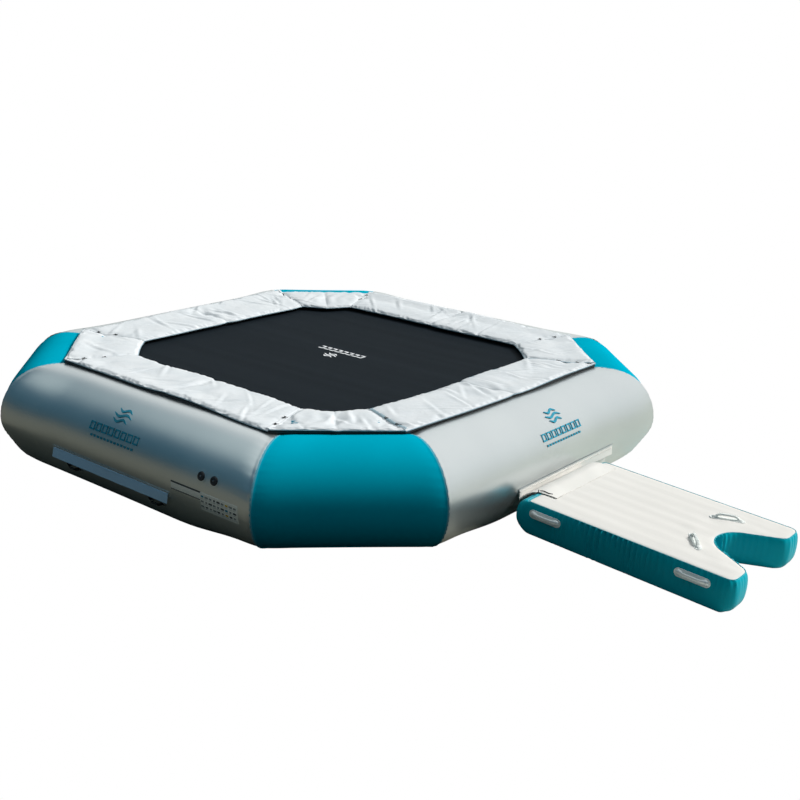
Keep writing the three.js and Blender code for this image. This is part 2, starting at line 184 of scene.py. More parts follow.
def border_quads(rows, columns, shift):
    """Quads that join the edge of one grid to the edge of a second one, shift points later."""
    index = np.arange(rows * columns).reshape(rows, columns)
    loop = np.concatenate([index[0, :-1], index[:-1, -1], index[-1, :0:-1], index[:0:-1, 0]])
    following = np.roll(loop, -1)
    return np.stack([loop, following, following + shift, loop + shift], axis=-1)


def loop_faces(loops, count):
    """Quads between stacked loops of count points each, with a face over the first and the last loop."""
    index = np.arange(loops * count).reshape(loops, count)
    following = np.roll(index, -1, 1)
    quads = np.stack([index[:-1], following[:-1], following[1:], index[1:]], axis=-1).reshape(-1, 4)
    return [quads, index[:1, ::-1], index[-1:]]


def unit_circle(count):
    """Evenly spaced points [x, y] on a circle of radius 1."""
    angle = np.linspace(0, FULL_TURN, count, endpoint=False)
    return np.stack([np.cos(angle), np.sin(angle)], axis=-1)


def path_directions(path, closed):
    """Unit tangents along a path, with two unit vectors across it that don't twist."""
    ahead = np.roll(path, -1, 0) - path
    behind = path - np.roll(path, 1, 0)
    if not closed:
        ahead[-1], behind[0] = behind[-1], ahead[0]
    ahead /= np.linalg.norm(ahead, axis=1)[:, None]
    behind /= np.linalg.norm(behind, axis=1)[:, None]
    tangents = ahead + behind
    tangents /= np.linalg.norm(tangents, axis=1)[:, None]
    normal = np.cross(tangents[0], [0.31, 0.22, 0.92])
    normals = []
    for tangent in tangents:
        normal = normal - tangent * (normal @ tangent)
        normal = normal / np.linalg.norm(normal)
        normals.append(normal)
    normals = np.array(normals)
    return normals, np.cross(tangents, normals)


def add_seam(piece, closeness):
    """Stores how close each point is to a welded seam, 0 to 1, for the material."""
    seam = piece.data.attributes.new("seam", "FLOAT", "POINT")
    seam.data.foreach_set("value", closeness.reshape(-1).astype(np.float32))


class Build:
    """Gathers points and faces, with a material number for each lot of faces."""

    def __init__(self):
        self.points, self.faces, self.slots, self.count = [], [], [], 0

    def add_faces(self, lot, start, slot):
        self.faces.extend((np.asarray(lot) + start).tolist())
        self.slots.extend([slot] * len(lot))

    def add(self, points, lots, slot=0, matrix=None):
        """Adds points, taken through a matrix if there is one, with lots of faces numbered among them."""
        points = np.asarray(points, float).reshape(-1, 3)
        if matrix is not None:
            points = moved(points, matrix)
        for lot in lots:
            self.add_faces(lot, self.count, slot)
        self.points.append(points)
        self.count += len(points)

    def sheet(self, top, bottom, slot=0, bottom_slot=None):
        """A closed slab between two grids of points."""
        rows, columns = top.shape[:2]
        size = rows * columns
        quads = grid_quads(rows, columns)
        start = self.count
        self.add(np.concatenate([top.reshape(-1, 3), bottom.reshape(-1, 3)]), [quads], slot)
        self.add_faces(quads[:, ::-1] + size, start, slot if bottom_slot is None else bottom_slot)
        self.add_faces(border_quads(rows, columns, size)[:, ::-1], start, slot)

    def rod(self, path, radius, sides=8, closed=False, slot=0):
        """A round bar along a path; radius may be one number or one for each point."""
        path = np.asarray(path, float)
        normals, across = path_directions(path, closed)
        circle = unit_circle(sides)
        ring = normals[:, None] * circle[None, :, :1] + across[:, None] * circle[None, :, 1:]
        radius = np.broadcast_to(np.asarray(radius, float), len(path))
        points = path[:, None] + ring * radius[:, None, None]
        index = np.arange(len(path) * sides).reshape(len(path), sides)
        first = index if closed else index[:-1]
        second = np.roll(index, -1, 0) if closed else index[1:]
        quads = np.stack([first, np.roll(first, -1, 1), np.roll(second, -1, 1), second], axis=-1)
        ends = [] if closed else [index[:1, ::-1], index[-1:]]
        self.add(points, [quads.reshape(-1, 4)] + ends, slot)

    def lathe(self, profile, segments=48, slot=0, matrix=None):
        """A turned solid about +Z from [radius, height] points; both ends lie on the axis."""
        profile = np.asarray(profile, float)
        body = profile[1:-1]
        flat = body[:, None, :1] * unit_circle(segments)[None]
        heights = np.broadcast_to(body[:, None, 1:], (len(body), segments, 1))
        points = np.concatenate([flat, heights], axis=-1).reshape(-1, 3)
        tips = [[0, 0, profile[0, 1]], [0, 0, profile[-1, 1]]]
        quads, low_loop, high_loop = loop_faces(len(body), segments)
        tip = len(points)
        first = np.stack([low_loop[0], np.roll(low_loop[0], -1), np.full(segments, tip)], axis=-1)
        last = np.stack([high_loop[0], np.roll(high_loop[0], -1), np.full(segments, tip + 1)], axis=-1)
        self.add(np.concatenate([points, tips]), [quads, first, last], slot, matrix)

    def box(self, size, matrix, slot=0, bevel=0.25):
        """A block with cut corners, centred on its frame."""
        x, y, z = (s / 2 for s in size)
        cut = min(x, y) * bevel
        right = [(x - cut, -y), (x, -y + cut), (x, y - cut), (x - cut, y)]
        outline = right + [(-px, -py) for px, py in right]
        points = [(px, py, pz) for pz in (-z, z) for px, py in outline]
        self.add(points, loop_faces(2, len(outline)), slot, matrix)

    def finish(self, name, materials, sharp=35):
        """The piece, with outward faces and smooth shading up to the sharp angle in degrees."""
        mesh = bpy.data.meshes.new(name)
        mesh.from_pydata(np.concatenate(self.points).tolist(), [], self.faces)
        for material in materials:
            mesh.materials.append(material)
        mesh.polygons.foreach_set("material_index", self.slots)
        mesh.validate()
        work = bmesh.new()
        work.from_mesh(mesh)
        bmesh.ops.recalc_face_normals(work, faces=work.faces)
        work.to_mesh(mesh)
        work.free()
        mesh.polygons.foreach_set("use_smooth", [True] * len(mesh.polygons))
        mesh.set_sharp_from_angle(angle=math.radians(sharp))
        piece = bpy.data.objects.new(name, mesh)
        bpy.context.scene.collection.objects.link(piece)
        return piece


def ripples(u, v, seed, waves=7, low=2.0, high=9.0):
    """Smooth, seeded unevenness of about -1 to 1 over two coordinates in metres."""
    random = np.random.default_rng(int(seed * 1000))
    total = 0
    for _ in range(waves):
        turn = random.uniform(0, math.pi)
        wave = random.uniform(low, high)
        phase = random.uniform(0, FULL_TURN)
        total = total + np.sin((u * math.cos(turn) + v * math.sin(turn)) * wave + phase)
    return total / math.sqrt(waves)


def smooth(share):
    """Eases 0 to 1, flat at both ends."""
    share = np.clip(share, 0, 1)
    return share ** 2 * (3 - 2 * share)


def bell(distance, width):
    """1 in the middle, falling off smoothly over a width."""
    return np.exp(-(distance / width) ** 2)


def settle(piece, body, slot, *nodes):
    """Ties a finished piece to its body and hides the CAD nodes it stands for; the slot is not used."""
    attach(piece, body)
    if nodes:
        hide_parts(*nodes)
    return piece


def settle_between(piece, node):
    """Hides the node of a piece that stretches between two bodies, and bakes its placement into its points;
    the piece is not tied to a body.
    """
    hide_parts(node)
    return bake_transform(piece)

# ------------------------------------------------------------------ materials


class Nodes:
    """The node tree of a material or the world, with short ways to build it."""

    def __init__(self, owner):
        owner.use_nodes = True
        self.tree = owner.node_tree

    def feed(self, socket, value):
        """Links a node's output to a socket, or sets its value; a colour may leave out its alpha."""
        if isinstance(value, bpy.types.NodeSocket):
            self.tree.links.new(value, socket)
        elif isinstance(value, tuple) and len(value) < len(socket.default_value):
            socket.default_value = (*value, 1)
        else:
            socket.default_value = value

    def set(self, node, **inputs):
        for key, value in inputs.items():
            self.feed(node.inputs[key.replace("_", " ")], value)

    def node(self, kind, settings=None, **inputs):
        made = self.tree.nodes.new(kind)
        for key, value in (settings or {}).items():
            setattr(made, key, value)
        self.set(made, **inputs)
        return made

    def math(self, operation, *values):
        made = self.node("ShaderNodeMath", {"operation": operation})
        for socket, value in zip(made.inputs, values):
            self.feed(socket, value)
        return made.outputs[0]

    def toward(self, place, direction):
        """How far each place lies in a direction."""
        made = self.node("ShaderNodeVectorMath", {"operation": "DOT_PRODUCT"}, Vector=place)
        made.inputs[1].default_value = direction
        return made.outputs["Value"]

    def ramp(self, factor, *stops):
        """A colour, or a grey number, for each position of the factor, blended between them."""
        made = self.node("ShaderNodeValToRGB", Fac=factor)
        elements = made.color_ramp.elements
        while len(elements) < len(stops):
            elements.new(0.5)
        for element, (position, color) in zip(elements, stops):
            element.position = position
            element.color = (*color, 1) if isinstance(color, tuple) else (color, color, color, 1)
        return made.outputs["Color"]

    def mix(self, factor, a, b):
        made = self.node("ShaderNodeMix", {"data_type": "RGBA"})
        for number, value in ((0, factor), (6, a), (7, b)):
            self.feed(made.inputs[number], value)
        return made.outputs[2]

    def rays(self, kind):
        """1 for the rays of a kind: Camera, Glossy or Diffuse."""
        return self.node("ShaderNodeLightPath").outputs[f"Is {kind} Ray"]


class Shader(Nodes):
    """A principled material with helpers for the textures that feed it."""

    def __init__(self, name, **inputs):
        self.material = bpy.data.materials.new(name)
        super().__init__(self.material)
        self.surface = self.tree.nodes["Principled BSDF"]
        self.set(self.surface, **inputs)
        self.place = self.node("ShaderNodeTexCoord").outputs["Object"]

    def noise(self, scale, detail=3.0, roughness=0.55, vector=None):
        vector = vector or self.place
        inputs = {"Vector": vector, "Scale": scale, "Detail": detail, "Roughness": roughness}
        return self.node("ShaderNodeTexNoise", **inputs).outputs["Fac"]

    def stretch(self, x, y, z):
        return self.node("ShaderNodeMapping", Vector=self.place, Scale=(x, y, z)).outputs["Vector"]

    def wave(self, scale, direction):
        settings = {"bands_direction": direction}
        return self.node("ShaderNodeTexWave", settings, Vector=self.place, Scale=scale).outputs["Fac"]

    def step(self, factor, low, high):
        """0 where the factor is below low, 1 where it is above high, and a slope between them."""
        return self.ramp(factor, (low, 0.0), (high, 1.0))

    def roughen(self, factor, spread, least):
        """Roughness from least upwards, by the spread times the factor."""
        rough = self.math("ADD", self.math("MULTIPLY", factor, spread), least)
        self.set(self.surface, Roughness=rough)

    def attribute(self, name):
        return self.node("ShaderNodeAttribute", {"attribute_name": name}).outputs["Fac"]

    def bump(self, height, strength, depth):
        """Adds relief of a depth in metres over any earlier one."""
        normal = self.surface.inputs["Normal"]
        earlier = normal.links[0].from_socket if normal.links else None
        made = self.node("ShaderNodeBump", Height=height, Strength=strength, Distance=depth)
        if earlier:
            self.tree.links.new(earlier, made.inputs["Normal"])
        self.tree.links.new(made.outputs["Normal"], normal)


def toned(color, gain, lift):
    """A colour made lighter or darker."""
    return tuple(min(1, channel * gain + lift) for channel in color)


def coated_skin(name, color, dark, roughness, metallic, specular=0.5):
    """Welded PVC: satin coat over a fine woven base, uneven sheen and a pale line at the welded seams, partly
    the seam's own colour and partly painted highlight.
    """
    s = Shader(name, Metallic=metallic, Specular_IOR_Level=specular)
    cloud = s.noise(1.3, 2.0)
    base = s.mix(s.step(cloud, 0.35, 0.7), dark, color)
    # Painted highlight: a paler line along the welded seams, laid over the seam's own line.
    weld_highlight = s.math("MULTIPLY", s.step(s.attribute("seam"), 0.35, 0.6), 0.5)
    scuff = s.step(s.noise(38.0, 5.0, 0.7), 0.55, 0.8)
    uneven = s.math("ADD", s.math("MULTIPLY", scuff, 0.07), s.math("MULTIPLY", cloud, 0.08))
    s.set(s.surface, Base_Color=s.mix(weld_highlight, base, toned(color, 0.6, 0.25)))
    s.set(s.surface, Roughness=s.math("ADD", uneven, roughness - 0.06))
    s.bump(s.noise(900.0, 1.0), 0.12, 0.0004)
    s.bump(s.noise(7.0, 2.0), 0.1, 0.004)
    return s.material


def vinyl(name, color, shade):
    """Padded vinyl cover: fine grain, soft creases and faint grime."""
    s = Shader(name, Specular_IOR_Level=0.4)
    grime = s.step(s.noise(5.0, 5.0, 0.65), 0.35, 0.75)
    s.set(s.surface, Base_Color=s.mix(grime, shade, color))
    s.roughen(s.noise(30.0), 0.16, 0.4)
    s.bump(s.noise(9.0, 3.0, 0.5), 0.5, 0.012)
    s.bump(s.noise(700.0, 2.0), 0.15, 0.0005)
    return s.material


def woven(name, color, thread, roughness=0.8, bands=0.0, specular=0.4):
    """Woven sheet with two crossing thread directions, thread in metres, and faint wide bands."""
    s = Shader(name, Roughness=roughness, Specular_IOR_Level=specular)
    pitch = 0.5 / thread
    weave = s.math("MULTIPLY", s.wave(pitch, "X"), s.wave(pitch, "Y"))
    base = s.mix(weave, color, toned(color, 1.9, 0.004))
    if bands:
        stripe = s.step(s.noise(1.0, 4.0, 0.6, s.stretch(0.15, 7.0, 1.0)), 0.35, 0.75)
        base = s.mix(s.math("MULTIPLY", stripe, bands), base, toned(color, 2.6, 0.006))
    s.set(s.surface, Base_Color=base)
    s.bump(weave, 0.5, 0.0006)
    return s.material


def metal(name, color, roughness, spangle=0.0):
    """Bare or zinc-coated steel: clouded tone, and the crystal spangle of hot-dip zinc."""
    s = Shader(name, Metallic=1.0)
    cloud = s.noise(60.0, 4.0)
    tone = s.mix(s.step(cloud, 0.3, 0.75), toned(color, 0.72, 0.0), color)
    if spangle:
        cells = s.node("ShaderNodeTexVoronoi", Vector=s.place, Scale=90.0).outputs["Color"]
        tone = s.mix(spangle, tone, cells)
    s.set(s.surface, Base_Color=tone)
    s.roughen(cloud, 0.25, roughness - 0.12)
    s.bump(s.noise(400.0, 2.0), 0.1, 0.0004)
    return s.material


def moulded(name, color, roughness):
    """Moulded rubber or plastic with a fine texture and rubbed patches."""
    s = Shader(name)
    worn = s.step(s.noise(25.0, 4.0, 0.6), 0.4, 0.8)
    s.set(s.surface, Base_Color=s.mix(worn, color, toned(color, 1.25, 0.01)))
    s.roughen(worn, 0.1, roughness)
    s.bump(s.noise(500.0, 2.0), 0.2, 0.0004)
    return s.material


def deck_skin(name, color, shade):
    """Non-slip deck: brushed grain running lengthwise, tiny pips and faint long shading bands."""
    s = Shader(name, Specular_IOR_Level=0.3)
    streak = s.noise(3.0, 4.0, 0.6, s.stretch(0.35, 4.0, 1.0))
    s.set(s.surface, Base_Color=s.mix(s.step(streak, 0.35, 0.7), shade, color))
    s.roughen(streak, 0.15, 0.6)
    s.bump(s.noise(260.0, 2.0), 0.3, 0.0008)
    s.bump(streak, 0.25, 0.004)
    return s.material


SILVER = coated_skin("silver_pvc", (0.70, 0.74, 0.745), (0.655, 0.695, 0.705), 0.36, 0.90)
TEAL = coated_skin("teal_pvc", (0.0, 0.37, 0.52), (0.0, 0.34, 0.48), 0.5, 0.0, specular=0.0)
PLATFORM_TEAL = coated_skin("platform_teal_pvc", (0.0, 0.40, 0.50), (0.0, 0.36, 0.45), 0.34, 0.0, 0.07)
FLAP_WHITE = coated_skin("flap_fabric", (0.80, 0.785, 0.75), (0.74, 0.725, 0.69), 0.55, 0.0)
STRIP_CLOTH = coated_skin("strip_fabric", (0.66, 0.66, 0.64), (0.60, 0.60, 0.59), 0.5, 0.1)
# The right strip's blue-grey and its sheen are painted reflection of the sky on a strip in shade.
STRIP_PAINTED_SKY = coated_skin("blue_grey_strip_fabric", (0.42, 0.68, 0.95), (0.38, 0.62, 0.88), 0.42, 0.45)
LABEL_PALE = coated_skin("label_pale", (0.97, 0.98, 0.95), (0.93, 0.94, 0.91), 0.5, 0.5)
# The same rubber as the deck handles, made paler and shinier: painted light on the side handles, which stand
# in shade.
SIDE_HANDLE_PAINTED_LIGHT = coated_skin("side_handle_rubber", (0.94, 0.96, 0.95), (0.90, 0.92, 0.91), 0.34, 0.35)
DECK = deck_skin("deck_vinyl", (0.745, 0.73, 0.70), (0.71, 0.695, 0.665))
PAD_WHITE = vinyl("white_pad_vinyl", (0.71, 0.735, 0.755), (0.63, 0.67, 0.70))
# Black underside of the pads, also used for the band of painted shadow under their outer edges.
PAD_BLACK_AND_SHADOW = vinyl("black_pad_underside", (0.016, 0.019, 0.022), (0.012, 0.014, 0.016))
BED = woven("black_bed_mesh", (0.005, 0.008, 0.011), 0.0022, bands=0.25, specular=0.08)
BED_WEB = woven("black_webbing", (0.012, 0.013, 0.015), 0.0016, 0.75)
DARK_WEB = woven("dark_strap_webbing", (0.035, 0.06, 0.085), 0.0016)
BINDING = woven("grey_blue_binding", (0.24, 0.33, 0.38), 0.0015)
CORD = woven("black_cord", (0.01, 0.01, 0.012), 0.001)
GALVANISED = metal("galvanised_steel", (0.62, 0.64, 0.66), 0.42, 0.18)
SPRING_STEEL = metal("spring_steel", (0.68, 0.69, 0.71), 0.32)
DARK_STEEL = metal("valve_insert", (0.35, 0.36, 0.38), 0.4)
HANDLE_GREY = moulded("handle_rubber", (0.74, 0.77, 0.75), 0.42)
BLACK_PLASTIC = moulded("valve_plastic", (0.022, 0.022, 0.026), 0.38)
PRINT_BLUE = moulded("print_blue", (0.015, 0.26, 0.38), 0.5)
PRINT_WHITE = moulded("print_white", (0.75, 0.77, 0.8), 0.6)
PRINT_DARK = moulded("print_dark", (0.06, 0.07, 0.08), 0.5)
PRINT_YELLOW = moulded("print_yellow", (0.75, 0.5, 0.04), 0.5)
PRINT_GREY = moulded("print_grey", (0.30, 0.32, 0.31), 0.5)

# ------------------------------------------------------------------ float ring

CLOSEST, FARTHEST = "front_right", "back_left"
SEAM_GAP = 0.0005
SEAM_PULL, SEAM_REACH = 0.010, 0.07
WELD_DEPTH, WELD_WIDTH = 0.0022, 0.022
WELD_HIGHLIGHT_WIDTH = 0.030
SKIN_WALL = 0.004
TUBE_AROUND = 144
TUBE_ALONG = {True: 61, False: 101}
END_CROWDING = 0.75
DRIFT, DRIFT_INWARD, DRIFT_EASE = 0.0035, 0.003, 0.3
PUCKER, PUCKER_REACH, PUCKERS = 0.0016, 0.09, 70
CORNER_SWELL = {"back_right": 0.038, "front_left": 0.042, "back_left": 0.020}
SWELL_REACH, SWELL_EASE = 0.45, 0.55
GROUND_SPREAD, SPREAD_FROM, SPREAD_TO = 0.038, -20.0, -104.0
SPREAD_CLEAR, SPREAD_EASE = 0.55, 0.75
NEAR_LIFT, LIFT_TOP = 0.036, 0.25
LIFT_REACH, LIFT_EASE = 0.40, 0.75
LIFT_FROM, LIFT_FULL = -118.0, -88.0


def from_corner(side, along, name):
    """Distance along the ring from the middle of a corner."""
    place = side.place(0.0, along, TUBE_Z)
    return np.linalg.norm(place - by_name[name].place(0.0, 0.0, TUBE_Z), axis=-1)


def swollen_part(name, angle):
    """Where round the tube a corner is fatter: on its outer side, or towards its top if it is far away."""
    outward, upward = np.cos(angle), np.sin(angle)
    if name == FARTHEST:
        return smooth(outward * 1.6 + 0.55) * smooth(upward * 2)
    return smooth(outward * 1.25) * smooth(1 + 1.5 * upward)


def corner_swell(side, along, angle):
    """Three corners are blown up a little fatter than the closest one."""
    total = 0
    for name, swell in CORNER_SWELL.items():
        near = smooth(1 - (from_corner(side, along, name) - SWELL_REACH) / SWELL_EASE)
        total = total + swell * near * swollen_part(name, angle)
    return total


def ground_spread(side, along, angle):
    """The tube spreads just above the ground on its outer side, except at the closest corner."""
    share = np.clip((np.degrees(angle) - SPREAD_FROM) / (SPREAD_TO - SPREAD_FROM), 0, 1)
    far = smooth((from_corner(side, along, CLOSEST) - SPREAD_CLEAR) / SPREAD_EASE)
    return GROUND_SPREAD * far * np.sin(np.pi * share) ** 2


def near_lift(side, along, angle, z):
    """The closest corner stands a little clear of the ground on its outer side."""
    near = smooth(1 - (from_corner(side, along, CLOSEST) - LIFT_REACH) / LIFT_EASE)
    outward = smooth((np.degrees(angle) - LIFT_FROM) / (LIFT_FULL - LIFT_FROM))
    return NEAR_LIFT * near * outward * np.clip(1 - z / LIFT_TOP, 0, 1) ** 2


def tube_radius(side, radius, angle, along, from_seam):
    """The skin's distance from the tube's middle: pulled in at the seams and gently uneven."""
    pull = SEAM_PULL * np.exp(-(from_seam / SEAM_REACH) ** 1.5) - WELD_DEPTH * (from_seam < WELD_WIDTH)
    drift = DRIFT * ripples(along, radius * angle, side.angle, low=0.8, high=2.6) - DRIFT_INWARD
    folds = np.sin(angle * PUCKERS + 3 * ripples(angle * 3, along, 5))
    pucker = PUCKER * np.exp(-from_seam / PUCKER_REACH) * folds
    even = radius - pull + drift * (1 - np.exp(-from_seam / DRIFT_EASE)) + pucker
    return even + corner_swell(side, along, angle) + ground_spread(side, along, angle)


def tube_layer(side, depth):
    """A grid of points on one panel of the tube, at a depth below its face, and their seam distances."""
    angle = np.radians(np.linspace(-180, 180, TUBE_AROUND, endpoint=False)[:, None])
    even = np.linspace(-1, 1, TUBE_ALONG[side.corner])[None, :]
    t = (1 - END_CROWDING) * even + END_CROWDING * np.sin(even * math.pi / 2)
    radius = TUBE_RADIUS - depth
    reach = side.reach(radius * np.cos(angle)) - SEAM_GAP
    along = t * reach
    from_seam = reach - np.abs(along)
    actual = tube_radius(side, radius, angle, along, from_seam)
    z = np.maximum(TUBE_Z + actual * np.sin(angle), SEAM_GAP + depth)
    z = z + near_lift(side, along, angle, z)
    return side.place(actual * np.cos(angle), along, z), from_seam


def float_skin(side):
    """One panel of the tube, flat where it stands, with a wall's thickness."""
    (outer, from_seam), (inner, _) = tube_layer(side, 0.0), tube_layer(side, SKIN_WALL)
    rows, columns = outer.shape[:2]
    size = rows * columns
    quads = grid_quads(rows, columns, around=True)
    ring = np.arange(rows) * columns
    following = np.roll(ring, -1)
    start = np.stack([ring, following, following + size, ring + size], axis=-1)
    end = start[:, [1, 0, 3, 2]] + columns - 1
    build = Build()
    points = np.concatenate([outer.reshape(-1, 3), inner.reshape(-1, 3)])
    build.add(points, [quads, quads[:, ::-1] + size, start, end])
    piece = build.finish(f"skin_{side.name}", [TEAL if side.corner else SILVER], sharp=50)
    # How near each point is to a seam, for the pale seam line with its painted highlight.
    closeness = np.clip(1 - from_seam / WELD_HIGHLIGHT_WIDTH, 0, 1)
    add_seam(piece, np.stack([closeness, closeness]))
    slot = "teal_skin" if side.corner else "silver_skin"
    return settle(piece, "ring", slot, f"float_{side.name}")


def add_floats():
    for side in sides:
        float_skin(side)


# ------------------------------------------------------------------ safety pads

PAD_STEP = 0.015
PAD_ROWS = 43
PAD_GAP = 0.0015
PAD_DEPTH = PAD_OUTER - PAD_INNER
PAD_FOAM, PAD_SOLE = 0.012, 0.004
PAD_HIGHEST = PAD_TOP + 0.030
CROWN = 0.023
INNER_WAVE, INNER_TUCK = 0.013, 0.022
OUTER_WAVE, OUTER_TUCK = 0.007, 0.012
CORNER_INNER_TUCK, CORNER_OUTER_TUCK = 0.018, 0.012
CORNER_SLACK = {"front_right": 0.075, "back_left": -0.060, "front_left": 0.010, "back_right": 0.010}
CORNER_PINCH = {"front_right": 1.0, "back_left": 1.0, "front_left": 0.1, "back_right": 0.1}
SIDE_PINCH = 0.9
EDGE_LIFT = {"front_right": 0.028, "back_left": 0.004}
USUAL_LIFT, LIFT_WAVE = 0.021, 0.009
EDGE_START, EDGE_RISE, EDGE_ROUND = 0.62, 0.018, 0.04
FOLDS = {True: 6, False: 20}
FOLD_WIDTHS, FOLD_LENGTHS, FOLD_DEPTHS = (0.014, 0.026), (0.10, 0.30), (0.0045, 0.0095)
SEAM_WIDTH = {True: 0.035, False: 0.028}
GATHER, LUMP = 0.006, 0.0028
SLIP = -0.085
SLIP_REACH = 1.0
slip_centre = by_name[CLOSEST].place(PAD_OUTER, 0.0, PAD_TOP)
slip_along = by_name[CLOSEST].place(PAD_OUTER, 1.0, PAD_TOP) - slip_centre


def slipped(points):
    """The covers have slid a little along the tube at one corner, where their ties are loose."""
    away = np.linalg.norm(points - slip_centre, axis=-1, keepdims=True)
    return points + slip_along * SLIP * np.exp(-(away / SLIP_REACH) ** 4)


def on_ring(side, offset, along, z):
    """Points of a piece that has slid along with the covers."""
    return slipped(side.place(offset, along, z))


def pad_outline(side, u, s):
    """Offset and distance along for s 0..1 from the inner to the outer edge, and u -1..1 along the pad."""
    offset = PAD_INNER + PAD_DEPTH * s
    if side.corner:
        slack = (1 - s) * CORNER_SLACK[side.name] * (1 - u ** 2) ** 2
        tuck = CORNER_OUTER_TUCK * s - CORNER_INNER_TUCK * (1 - s)
        offset = offset + slack + CORNER_PINCH[side.name] * tuck * bell(u, 0.05)
    else:
        waves = ripples(u * side.half, np.zeros_like(u), 40 + side.angle, low=2.2, high=7.5)
        calm = np.clip((1 - np.abs(u)) / 0.1, 0, 1)
        inner = INNER_WAVE * waves + INNER_TUCK * bell(u, 0.05)
        outer = OUTER_WAVE * waves + OUTER_TUCK * bell(u, 0.04)
        offset = offset + calm * ((1 - s) * inner - s * outer)
    return offset, u * (side.reach(offset) - PAD_GAP)


def pad_lift(side, u):
    """How far the outer edge stands clear of the tube, which shows the black band of painted shadow under it.
    """
    lift = EDGE_LIFT.get(side.name, USUAL_LIFT)
    if side.name == FARTHEST:
        return lift + 0 * u
    wave = ripples(u * side.half, 0 * u, 50 + side.angle, low=1.5, high=6)
    return lift + LIFT_WAVE * np.clip(wave, -1, 1.1)


def pad_folds(side, s, along):
    """Short straight folds scattered over the cover."""
    random = np.random.default_rng(int(side.angle * 100) + 3)
    total = 0
    for _ in range(FOLDS[side.corner]):
        centre = random.uniform(-0.92, 0.92) * side.half
        middle = random.uniform(0.12, 0.88)
        turn, width = random.uniform(-1.0, 1.0), random.uniform(*FOLD_WIDTHS)
        length, depth = random.uniform(*FOLD_LENGTHS), random.uniform(*FOLD_DEPTHS)
        a, b = along - centre, (s - middle) * PAD_DEPTH
        across = a * math.cos(turn) + b * math.sin(turn)
        lengthwise = -a * math.sin(turn) + b * math.cos(turn)
        ridge = bell(across, width) - 0.7 * bell(across - 1.5 * width, width)
        total = total + depth * ridge * bell(lengthwise, length)
    return total


def pad_rise(side, u, s, along):
    """Height of the cover's top above the pad's thin edges: its crown, its cross seam and its folds."""
    width = np.sin(np.pi * np.clip(s, 0, 1)) ** 0.45
    end = np.clip((1 - np.abs(u)) * side.half / 0.10, 0, 1)
    pinch = CORNER_PINCH[side.name] if side.corner else SIDE_PINCH
    seam = np.exp(-np.abs(along) / SEAM_WIDTH[side.corner])
    crown = CROWN * width * (0.35 + 0.65 * np.sqrt(end)) * (1 - 0.9 * pinch * seam)
    gather = pinch * np.sin(along * 42 + 9 * s + 1.3 * np.sin(9 * s)) * bell(along, 0.2)
    lumps = LUMP * ripples(along, s * 0.6, side.angle + 11, waves=9, low=5, high=24)
    uneven = GATHER * gather * np.sin(np.pi * s) + pad_folds(side, s, along) + lumps
    return crown + uneven * width * (0.3 + 0.7 * end)


def pad_edge(side, u, s):
    """Height of the pad's underside: flat over the springs, then rising towards its outer edge."""
    rise = np.clip((s - EDGE_START) / (1 - EDGE_START), 0, 1) ** 1.4
    return PAD_BOTTOM + PAD_SOLE + (EDGE_RISE + pad_lift(side, u)) * rise


def pad_top(side, u, s, along):
    """Height of the cover's upper face."""
    edge = PAD_SOLE * (1 - np.clip(np.minimum(s, 1 - s) / EDGE_ROUND, 0, 1) ** 2)
    top = pad_edge(side, u, s) + PAD_FOAM - edge + pad_rise(side, u, s, along)
    return np.minimum(top, PAD_HIGHEST)


def pad_cover(side):
    """A pad's cover: a grid from end to end, with rows closer together at its edges."""
    u = np.linspace(-1, 1, int(side.reach(0.0) * 2 / PAD_STEP) | 1)[None, :]
    even = np.linspace(0, 1, PAD_ROWS)[:, None]
    u, s = np.broadcast_arrays(u, 0.3 * (1 - np.cos(np.pi * even)) + 0.4 * even)
    offset, along = pad_outline(side, u, s)
    build = Build()
    heights = (pad_top(side, u, s, along), pad_edge(side, u, s))
    build.sheet(*[on_ring(side, offset, along, height) for height in heights], bottom_slot=1)
    piece = build.finish(f"pad_cover_{side.name}", [PAD_WHITE, PAD_BLACK_AND_SHADOW], sharp=60)
    soften_pad(piece)
    return settle(piece, "ring", "pad_vinyl", f"pad_{side.name}")


CLOTH_FRAMES = 12
CLOTH_REACH = 0.008
BINDING_RADIUS, WELT_RADIUS = 0.0045, 0.0052
# Bulge and wall of the black band of painted shadow under each pad's outer edge.
SHADOW_BAND_BULGE, SHADOW_BAND_WALL = 0.007, 0.003
TIE_LOOP, TIE_TAIL = (0.015, 0.013, 0.003), (0.026, 0.020, 0.004)


def mesh_points(mesh):
    points = np.zeros(len(mesh.vertices) * 3)
    mesh.vertices.foreach_get("co", points)
    return points.reshape(-1, 3)


def pin_hems(piece):
    """Holds the cover's edges and its whole underside."""
    half = len(piece.data.vertices) // 2
    index = np.arange(half).reshape(PAD_ROWS, -1)
    held = np.concatenate([index[0], index[-1], index[1:-1, 0], index[1:-1, -1]])
    pins = piece.vertex_groups.new(name="hem")
    pins.add([int(i) for i in held] + list(range(half, 2 * half)), 1.0, "REPLACE")
    return pins


def add_cloth(piece, pins):
    """A light cloth modifier, without gravity, that blows the cover up a little."""
    cloth = piece.modifiers.new("cloth", "CLOTH")
    settings = cloth.settings
    settings.quality = 4
    settings.mass = 0.4
    settings.tension_stiffness = settings.compression_stiffness = 12
    settings.shear_stiffness = 4
    settings.bending_stiffness = 0.3
    settings.use_pressure = True
    settings.uniform_pressure_force = 1.5
    settings.shrink_min = -0.03
    settings.vertex_group_mass = pins.name
    settings.effector_weights.gravity = 0
    cloth.collision_settings.use_collision = False
    return cloth


